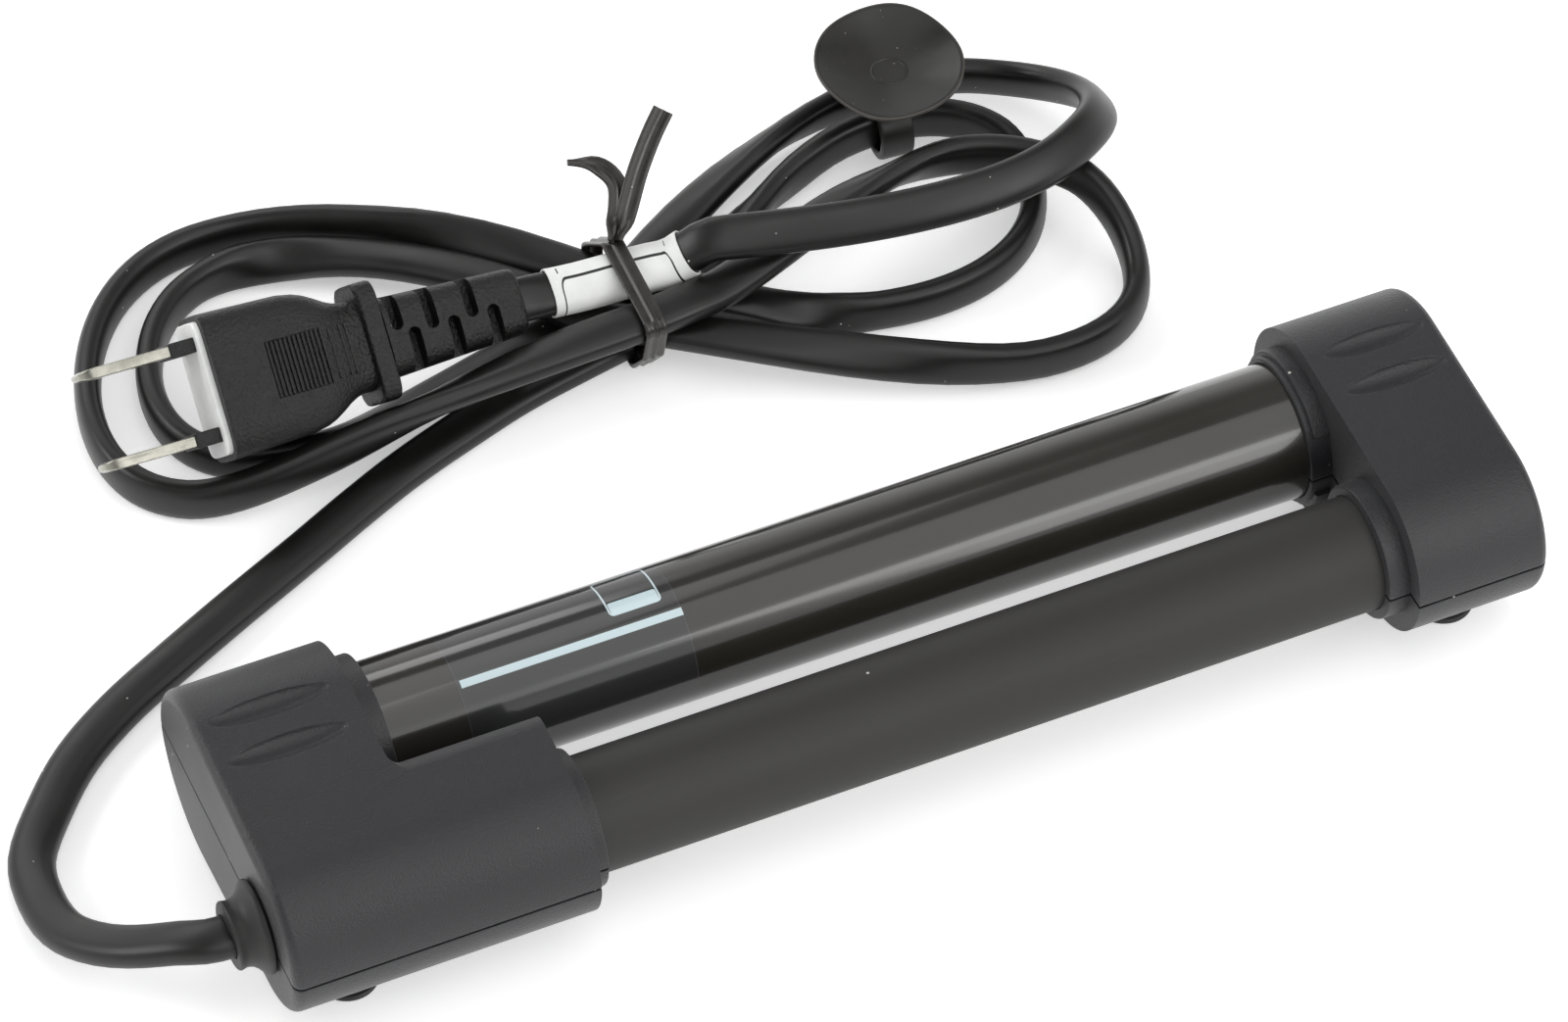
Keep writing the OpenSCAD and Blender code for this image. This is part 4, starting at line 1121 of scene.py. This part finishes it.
def loftSections(name, sections):
    return loft(name, [[(x, w, t) for w, t in roundedSection(*section, 64)] for x, *section in sections])


# A slot from the side of the relief to a little past its middle, above or below
def slotCutter(x, side, past, levels):
    ring = []
    far, r = 7.5, plugShape["slotRadius"]
    near = r - past
    for c, s in turns(24):
        ring.append((x + r * c, side * (near if s < 0 else far) + side * r * s))
    return loft("slot", [[(*p, z) for p in ring] for z in levels])


def bothSides(levels):
    return [sorted(side * level for level in levels) for side in (1, -1)]


def makePlugBody(spec):
    body = fuse(
        loftSections("plugRelief", spec["relief"]),
        loftSections("plugFlange", spec["flange"]),
        loftSections("plugGrip", spec["grip"]),
    )
    for slot in spec["slots"]:
        cut(body, *[slotCutter(*slot, levels) for levels in bothSides(spec["slotLevels"])])
    first, last, half, *depths = spec["panel"]
    for low, high in bothSides(depths):
        cut(body, block("panel", (first, -half, low), (last, half, high)))
    halfThickness, halfWidth = bladeSpec["opening"]
    for side in (-1, 1):
        y = side * bladeSpec["spacing"] / 2
        low, high = (37, y - halfThickness, -halfWidth), (48, y + halfThickness, halfWidth)
        cut(body, block("bladeSlot", low, high))
    return body


# Ribs on the recessed panel, and wider ones on the shoulder before it
def makeRibs(spec):
    ribs = []
    first, last, half = spec["panel"][:3]
    wide, gap, soft = spec["ribSize"]
    for i in range(spec["ribs"]):
        x = first + (last - first) / spec["ribs"] * (i + 0.5)
        for low, high in bothSides(spec["ribLevels"]):
            rib = block("rib", (x - wide, -half + gap, low), (x + wide, half - gap, high))
            ribs.append(roundSharp(rib, soft, 2))
    wide, half, depth, height, soft = spec["shoulderRibSize"]
    for x in spec["shoulderRibs"]:
        surface = valueAlong([(s[0], s[2]) for s in spec["grip"]], x)
        for low, high in bothSides((surface - depth, surface + height)):
            rib = block("rib", (x - wide, -half, low), (x + wide, half, high))
            ribs.append(roundSharp(rib, soft, 2))
    return ribs


plugBody = join(makePlugBody(plugShape), *makeRibs(plugShape))
moveMesh(plugBody, plugPlace)
settle(plugBody, "plugBody", plugPlastic, ["plug_body"], angle=40)


# Plug blades, their dark sleeves and the pale strip between them


# Bar along the plug through rings of place, half thickness and half width
def makeBar(name, side, rings):
    y = side * bladeSpec["spacing"] / 2
    return loft(name, [[(x, y - t, -w), (x, y + t, -w), (x, y + t, w), (x, y - t, w)] for x, t, w in rings])


def makeBlade(side):
    t, w = bladeSpec["halfThickness"], bladeSpec["halfWidth"]
    x0, x1 = bladeSpec["face"] - bladeSpec["root"], bladeSpec["face"] + bladeSpec["length"]
    rings = [
        (x0, t, w), (x1 - 2.6, t, w), (x1 - 1.6, t * 0.93, w * 0.93), (x1 - 0.8, t * 0.78, w * 0.76),
        (x1 - 0.25, t * 0.55, w * 0.55), (x1, t * 0.3, w * 0.36),
    ]
    return roundSharp(makeBar("blade", side, rings), 0.14, 3, angle=50)


def openingCutter(side, x0, x1):
    return makeBar("opening", side, [(x, *bladeSpec["opening"]) for x in (x0, x1)])


def makeSleeve(side):
    t, w, face = bladeSpec["halfThickness"], bladeSpec["halfWidth"], bladeSpec["face"]
    end, wall = face + bladeSpec["sleeve"], bladeSpec["sleeveWall"]
    rings = [(x, t + a, w + a) for x, a in ((face + 0.8, wall), (end - 0.4, wall), (end, wall - 0.1))]
    outer = roundSharp(makeBar("sleeve", side, rings), 0.16, 3, angle=50)
    return cut(outer, openingCutter(side, face - 1, face + 7))


def makeFacePlate():
    face = bladeSpec["face"]
    ring = roundedSection(9.4, 4.8, 8, 48)
    levels = [(face, 1), (face + 0.65, 1), (face + 0.8, 0.985)]
    plate = loft("plate", [[(x, w * s, t * s) for w, t in ring] for x, s in levels])
    return cut(plate, *[openingCutter(side, face - 1, face + 3) for side in (-1, 1)])


plugPieces = [plugBody]
for sideName, side in (("Left", 1), ("Right", -1)):
    node = sideName.lower()
    blade = makeBlade(side)
    moveMesh(blade, plugPlace)
    settle(blade, "plugBlade" + sideName, nickel, ["plug_blade_" + node])
    sleeve = makeSleeve(side)
    moveMesh(sleeve, plugPlace)
    settle(sleeve, "bladeSleeve" + sideName, plugPlastic, ["blade_sleeve_" + node])
    plugPieces += [blade, sleeve]
plugPlate = makeFacePlate()
moveMesh(plugPlate, plugPlace)
settle(plugPlate, "plugFacePlate", facePlastic, ["plug_face_plate"])
plugPieces.append(plugPlate)
print("plug made")


# Cord gland: a rubber grommet with a wide flange, a neck and an end ring

glandSpec = {
    "profile": [
        (0, 0), (0, 5.7), (0.12, 6.2), (0.45, 6.45), (0.9, 6.45), (1.2, 6.25), (1.5, 5.85), (2, 5.2),
        (2.6, 4.75), (3.2, 4.55), (3.6, 4.55), (4, 4.65), (4.3, 4.7), (4.5, 4.6), (4.6, 4.4), (4.6, 0),
    ],
    "neck": (-91, -88.15, 5.0),
    "keeper": (-88.15, -86.7, 6.4),
    "slot": (3.35, 2.05, 2.5),
}


def makeGland(spec):
    profile = [(-90 - x, r) for x, r in spec["profile"]]
    gland = lathe("gland", profile, 96, onAxis(frontY))
    inner = fuse(rodX("neck", *spec["neck"], frontY), rodX("keeper", *spec["keeper"], frontY))
    fuse(gland, inner)
    ring = roundedSection(*spec["slot"], 48)
    slot = [[(x, frontY + w, axisHeight + t) for w, t in ring] for x in (-100, -80)]
    return cut(gland, loft("slot", slot))


settle(makeGland(glandSpec), "cordGland", rubber, ["cord_gland"])
print("gland made")


# End caps

capSpec = {
    "rearRadius": 13.7,
    "frontRadius": 12.1,
    "wall": 1.8,
    "outerEnd": 90,
    "shortEnd": -68.4,
    "longEnd": -47.7,
    "farEnd": 70.5,
    "stepY": -3.15,
    "stepRound": 3,
    "endRound": 1.4,
    "rearCollar": 11.1,
    "frontCollar": 9.45,
    "lip": 10.35,
    "rearBore": 9.7,
    "frontBore": 8.1,
    # How far the collars stand out of the caps
    "cordRearReach": 3.1,
    "cordFrontReach": 2.2,
    "farReach": 3.1,
    "thickReach": 2.3,
    "glandBore": 5.1,
    "softEdge": 0.45,
    "stepFillet": 1.8,
    "arcSteps": 46,
    "partingGap": 0.16,
    "partingEdge": 0.12,
    # Middle and length of the finger grips of each cap
    "cordGrips": (-79.3, 16.7),
    "farGrips": (80.5, 15.4),
    "gripSides": (-0.1, -6.9),
    "gripHalfWidth": 1.85,
    "gripDepth": 1.25,
    "cordPegs": (-78.5, -72.7),
    "farPegs": (77, 85.4),
}
lean = math.asin((capSpec["rearRadius"] - capSpec["frontRadius"]) / (rearY - frontY))


def capOutline(inset):
    half = math.pi / 2 + lean
    sides = [
        (rearY, capSpec["rearRadius"] - inset, -half, 2 * half),
        (frontY, capSpec["frontRadius"] - inset, half, 2 * math.pi - 2 * half),
    ]
    points = []
    for y, radius, start, turn in sides:
        for i in range(capSpec["arcSteps"] + 1):
            a = start + turn * i / capSpec["arcSteps"]
            points.append((y + radius * math.cos(a), axisHeight + radius * math.sin(a)))
    return points


def prismX(name, outline, x0, x1):
    return loft(name, [[(x, y, z) for y, z in outline] for x in (x0, x1)])


# Takes away what lies past the step wall; its edges over the top and bottom are round
def stepCutter(inset, x0, x1, fillet):
    edge = capSpec["stepY"] - inset
    r = capSpec["stepRound"]
    front = capSpec["frontRadius"] - inset
    middle = edge - r
    top = (front + math.sin(lean) * (middle - frontY)) / math.cos(lean) - r / math.cos(lean)
    arc = []
    for i in range(9):
        a = (math.pi / 2 + lean) * (1 - i / 8)
        arc.append((middle + r * math.cos(a), top + r * math.sin(a)))
    out = (arc[0][0] - 5 * math.sin(lean), arc[0][1] + 5 * math.cos(lean))
    upper = [(40, out[1]), out, *arc]
    lower = [(y, -z) for y, z in reversed(upper)]
    outline = [(y, axisHeight + z) for y, z in upper + lower]
    cutter = prismX("stepCutter", outline, x0, x1)
    if fillet:
        bevelEdges(cutter, lambda p: abs(p.x - x0) < 0.01 and p.y < edge + 0.01, fillet, 6)
    return cutter


# Scoops a lens-shaped finger grip out of the sloping top and rounds its rim a little
def addGrip(cap, middle, length, side):
    turned = Matrix.Translation((middle, rearY, axisHeight)) @ Matrix.Rotation(lean, 4, "X")
    height = capSpec["rearRadius"]
    halfWidth = capSpec["gripHalfWidth"]
    rings = []
    for share in (0.06, 0.2, 0.34, 0.48, 0.6, 0.71, 0.8, 0.88, 0.94, 1.0):
        depth = capSpec["gripDepth"] * (1 - share**2) ** 0.6 - 0.012
        rings.append([
            (length / 2 * share * c, side + halfWidth * share * s, height - depth)
            for c, s in turns(48)
        ])
    rings.append([(x, y, height + 2) for x, y, _ in rings[-1]])
    cutter = loft("gripCutter", rings)
    moveMesh(cutter, turned)
    cut(cap, cutter)
    back = turned.inverted()

    def onRim(point):
        p = back @ point
        around = (p.x * 2 / length) ** 2 + ((p.y - side) / halfWidth) ** 2
        return abs(p.z - height) < 0.05 and abs(around - 1) < 0.03

    bevelEdges(cap, onRim, 0.08, 2)


def collar(name, x0, x1, radius, y, soft=0.3):
    way = 1 if x1 > x0 else -1
    return lathe(name, [
        (x0, 0), (x0, radius), (x1 - way * soft, radius), (x1 - way * soft * 0.3, radius - soft * 0.3),
        (x1, radius - soft), (x1, 0),
    ], 120, onAxis(y))


def makeCordCap():
    s = capSpec
    cap = prismX("cordCap", capOutline(0), -s["outerEnd"], s["longEnd"])
    bevelEdges(cap, lambda p: abs(p.x + s["outerEnd"]) < 0.01, s["endRound"], 6)
    for side in s["gripSides"]:
        addGrip(cap, *s["cordGrips"], side)
    cut(cap, stepCutter(0, s["shortEnd"], 0, s["stepFillet"]))
    roundSharp(cap, s["softEdge"], 3, angle=50)
    rear, front = s["shortEnd"], s["longEnd"]
    fuse(
        cap,
        collar("rearCollar", rear - 1, rear + s["cordRearReach"], s["rearCollar"], rearY),
        collar("frontCollar", front - 1, front + s["cordFrontReach"], s["frontCollar"], frontY),
    )
    wall = s["wall"]
    hollow = prismX("hollow", capOutline(wall), -s["outerEnd"] + wall, front - wall)
    cut(hollow, stepCutter(wall, rear - wall, 0, 0))
    cut(
        cap,
        hollow,
        rodX("rearBore", rear - wall - 1, 0, s["rearBore"], rearY, steps=120),
        rodX("frontBore", front - wall - 1, 0, s["frontBore"], frontY, steps=120),
        rodX("glandBore", -95, -85, s["glandBore"], frontY),
    )
    return cap


def makeFarCap():
    s = capSpec
    cap = prismX("farCap", capOutline(0), s["farEnd"], s["outerEnd"])
    bevelEdges(cap, lambda p: abs(p.x - s["outerEnd"]) < 0.01, s["endRound"], 6)
    for side in s["gripSides"]:
        addGrip(cap, *s["farGrips"], side)
    roundSharp(cap, s["softEdge"], 3, angle=50)
    end, wall, reach = s["farEnd"], s["wall"], s["farReach"]
    thick = collar("thickCollar", end + 1, end - s["thickReach"], s["rearCollar"], rearY)
    cut(thick, block("collarEnd", (60, -3, axisHeight - 3), (end + 0.01, 4.2, axisHeight + 6.9)))
    fuse(
        cap,
        thick,
        collar("lip", end + 1, end - reach, s["lip"], rearY, soft=0.2),
        collar("frontCollar", end + 1, end - reach, s["frontCollar"], frontY),
    )
    cut(
        cap,
        prismX("hollow", capOutline(wall), end + wall, s["outerEnd"] - wall),
        rodX("rearBore", 0, end + wall + 1, s["rearBore"], rearY, steps=120),
        rodX("frontBore", 0, end + wall + 1, s["frontBore"], frontY, steps=120),
    )
    return cap


postSpec = {"y": (frontY + 8 + rearY - 9.6) / 2, "reach": 12, "post": 2.2, "peg": 1.2, "socket": 1.25}
footSpec = {
    "radius": 3.75,
    "height": 1.2,
    "stem": 1.4,
    "stemReach": 1,
    "sink": 1.3,
    "frontY": frontY - 1.15,
    "cordEnd": -79.3,
    "farEnd": 80.7,
}


# Upright rod between the tubes, its ends measured from the height of the axis
def postRod(part, x, low, high):
    return rodZ(part, x, postSpec["y"], axisHeight + low, axisHeight + high, postSpec[part])


def upperPost(x):
    return cut(postRod("post", x, 0.05, postSpec["reach"]), postRod("socket", x, -1, 6))


def lowerPost(x):
    return fuse(postRod("post", x, -postSpec["reach"], -0.05), postRod("peg", x, -1, 5))


def footPlaces(x):
    front = (x, footSpec["frontY"], axisHeight - capSpec["frontRadius"])
    return [front, (x, rearY, axisHeight - capSpec["rearRadius"])]


def makeHalves(cap, name, pegs, footX):
    gap = capSpec["partingGap"]
    upper = keepSide(cap, name + "Upper", axisHeight + gap, True)
    lower = keepSide(cap, name + "Lower", axisHeight - gap, False)
    bpy.data.objects.remove(cap)
    bevelEdges(upper, lambda p: abs(p.z - axisHeight - gap) < 0.004, capSpec["partingEdge"], 2)
    bevelEdges(lower, lambda p: abs(p.z - axisHeight + gap) < 0.004, capSpec["partingEdge"], 2)
    fuse(upper, *[upperPost(x) for x in pegs])
    fuse(lower, *[lowerPost(x) for x in pegs])
    for x, y, bottom in footPlaces(footX):
        fuse(lower, rodZ("pad", x, y, footSpec["height"], bottom + footSpec["sink"], footSpec["radius"]))
        cut(lower, rodZ("hole", x, y, 0, bottom + footSpec["stemReach"] + 0.05, footSpec["stem"] + 0.05))
    return upper, lower


for end, makeCap in (("cord", makeCordCap), ("far", makeFarCap)):
    halves = makeHalves(makeCap(), end + "Cap", capSpec[end + "Pegs"], footSpec[end + "End"])
    for half, sideName in zip(halves, ("Upper", "Lower")):
        node = end + "_cap_" + sideName.lower()
        settle(half, end + "Cap" + sideName, capPlastic, [node], angle=32)
print("caps made")


# Rubber feet with a soft rim


def makeFoot(x, y, bottom):
    r, h = footSpec["radius"], footSpec["height"]
    stem, top = footSpec["stem"], bottom + footSpec["stemReach"]
    profile = [
        (0, 0), (0, r - 0.5), (0.12, r), (0.4, r + 0.4), (0.7, r + 0.5), (1, r + 0.35), (h, r), (h, stem),
        (top, stem), (top, 0),
    ]
    return lathe("foot", profile, 64, Matrix.Translation((x, y, 0)) @ upright)


for end in ("Cord", "Far"):
    places = footPlaces(footSpec[end.lower() + "End"])
    for rowName, place in zip(("Front", "Rear"), places):
        node = ("foot_" + rowName + "_" + end + "_end").lower()
        settle(makeFoot(*place), "foot" + rowName + end + "End", rubber, [node])
print("feet made")


# Tubes: smoked glass at the rear, dull sleeve in front

tubeSpec = {
    "rear": (-80, 84, 9.6, 8.4),
    "front": (-78, 84, 8.0, 7.2),
}


def makeTube(name, y, x0, x1, radius, bore):
    return lathe(name, [
        (x0, bore), (x0, radius - 0.3), (x0 + 0.3, radius), (x1 - 0.3, radius),
        (x1, radius - 0.3), (x1, bore),
    ], 160, onAxis(y))


printSpec = {
    # Middle, half size and corner radius, along X and round the tube from its top to the front
    "film": ((-38.5, 0), (15.9, 32), 0.6),
    "stripe": ((-38.25, 4.1), (15.75, 0.55), 0.06),
    "box": ((-28.1, -2.2), (3.6, 3.85), 0.6),
    "boxFoot": ((-28.1, 0.6), (3.4, 1), 0.3),
    "line": 0.12,
    "ink": (0.5, 0.61, 0.64),
}


# Dark glass with the film behind it: a plain stripe and an empty box
def makeSmokedGlass():
    material, tree, shader = newMaterial("smokedGlass", 0.17, coat=0.45, coatRoughness=0.06)
    mottle = groupNode(tree, grainGroup, {"Scale": 700, "Mottle Scale": 25}).outputs["Mottle"]
    color = mixColor(tree, mottle, (0.0175, 0.0163, 0.0132), (0.021, 0.0197, 0.0162))
    parts = splitPlace(tree)
    u = mathNode(tree, "DIVIDE", parts["X"], milli)
    out = mathNode(tree, "SUBTRACT", rearY * milli, parts["Y"])
    up = mathNode(tree, "SUBTRACT", parts["Z"], axisHeight * milli)
    v = mathNode(tree, "MULTIPLY", mathNode(tree, "ARCTAN2", out, up), tubeSpec["rear"][2])
    film = panelDistance(tree, u, v, *printSpec["film"])
    color = mixColor(tree, panelFill(tree, film, 0.15), color, (0.022, 0.0228, 0.0222))
    color = mixColor(tree, panelLine(tree, film, 0.1), color, (0.035, 0.035, 0.035))
    stripe = panelFill(tree, panelDistance(tree, u, v, *printSpec["stripe"]))
    box = panelLine(tree, panelDistance(tree, u, v, *printSpec["box"]), printSpec["line"])
    foot = panelFill(tree, panelDistance(tree, u, v, *printSpec["boxFoot"]))
    ink = mathNode(tree, "MAXIMUM", stripe, mathNode(tree, "MAXIMUM", box, foot))
    color = mixColor(tree, ink, color, printSpec["ink"])
    paint(tree, shader, color, rangeNode(tree, mottle, 0, 1, 0.15, 0.2))
    return material


smokedGlass = makeSmokedGlass()
controlTube = makeTube("controlTube", rearY, *tubeSpec["rear"])
settle(controlTube, "controlTube", smokedGlass, ["control_tube"])
heaterSleeve = makeTube("heaterSleeve", frontY, *tubeSpec["front"])
settle(heaterSleeve, "heaterSleeve", sleevePlastic, ["heater_sleeve"])
print("tubes made")


# Materials of the inner nodes

innerMaterials = {
    "rating_film": facePlastic,
    "heater_glass": coreGlass,
    "ceramic_core": ceramicWhite,
    "heating_wire": heatingAlloy,
    "control_stopper_cord_end": rubber,
    "control_stopper_far_end": rubber,
    "heater_stopper_cord_end": rubber,
    "heater_stopper_far_end": rubber,
    "circuit_board": boardLaminate,
    "triac": componentPlastic,
    "board_components": componentPlastic,
    "temperature_sensor": sensorResin,
    "thermal_fuse": brightMetal,
    "lead_wires": wireInsulation,
    "lead_joints": brightMetal,
}
for nodeName, material in innerMaterials.items():
    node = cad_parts[nodeName]
    if not node.material_slots:
        node.data.materials.append(material)
    for materialSlot in node.material_slots:
        materialSlot.link = "OBJECT"
        materialSlot.material = material
print("inner pieces painted")


# Floor, world and lights

stageSpec = {
    "floorSize": 6.0,
    "floorColors": ((0.88, 0.88, 0.88), (0.9, 0.9, 0.9)),
    "floorLift": 0.4,
    # Light of the wide surround at the horizon and overhead, and the heights between which it fades
    "horizonLight": 1.0,
    "overheadLight": 0.25,
    "fade": (0.25, 0.72),
    # Place, what it points at, size and power
    "lights": {
        "softFront": ((0.3, -0.6, 1.08), (0, 0.03, 0), (1.7, 1.25), 8),
        "softStrip": ((0.1, 0, 1.3), (0, 0.03, 0), (1.6, 0.3), 2.2),
        "softRight": ((0.6, -0.92, 0.62), (0.08, 0, 0), (0.6, 0.5), 3.2),
        "softLeft": ((-0.95, 0.5, 0.75), (-0.14, 0.06, 0), (0.6, 0.5), 5),
        "softBack": ((-0.1, 1.05, 0.8), (0, 0.03, 0), (0.8, 0.35), 2.6),
    },
}


# Factor that is 1 for what the camera, a reflection or a clear glass sees, and 0 for plain light
def seenFactor(tree):
    path = tree.nodes.new("ShaderNodeLightPath")
    seen = mathNode(tree, "MAXIMUM", path.outputs["Is Camera Ray"], path.outputs["Is Glossy Ray"])
    return mathNode(tree, "MAXIMUM", seen, path.outputs["Is Transmission Ray"])


def makeFloor():
    bpy.ops.mesh.primitive_plane_add(size=stageSpec["floorSize"], location=(0, 0, -0.00005))
    floor = bpy.context.object
    floor.name = "floor"
    material, tree, shader = newMaterial("floorPaper", 0.9)
    color = mixColor(tree, noiseNode(tree, mapped(tree), 3, 2.0), *stageSpec["floorColors"])
    tree.links.new(color, shader.inputs["Base Color"])
    shader.inputs["Specular IOR Level"].default_value = 0.1
    shader.inputs["Emission Color"].default_value = (1, 1, 1, 1)
    lift = mathNode(tree, "MULTIPLY", seenFactor(tree), stageSpec["floorLift"])
    tree.links.new(lift, shader.inputs["Emission Strength"])
    floor.data.materials.append(material)


# White all round at the horizon, darker overhead
def makeWorld():
    world = bpy.data.worlds.new("studio")
    bpy.context.scene.world = world
    world.use_nodes = True
    tree = world.node_tree
    background = tree.nodes["Background"]
    levels = (*stageSpec["fade"], stageSpec["horizonLight"], stageSpec["overheadLight"])
    strength = rangeNode(tree, splitPlace(tree, "Generated")["Z"], *levels)
    background.inputs["Color"].default_value = (1, 1, 1, 1)
    tree.links.new(strength, background.inputs["Strength"])


def areaLight(name, place, target, size, power):
    data = bpy.data.lights.new(name, "AREA")
    data.shape = "RECTANGLE"
    data.size, data.size_y = size
    data.energy = power
    light = bpy.data.objects.new(name, data)
    bpy.context.scene.collection.objects.link(light)
    light.location = place
    light.rotation_euler = (Vector(target) - Vector(place)).to_track_quat("-Z", "Y").to_euler()


makeFloor()
makeWorld()
for lightName, lightSpec in stageSpec["lights"].items():
    areaLight(lightName, *lightSpec)
bpy.context.scene.view_settings.view_transform = "Standard"

print("scene finished")
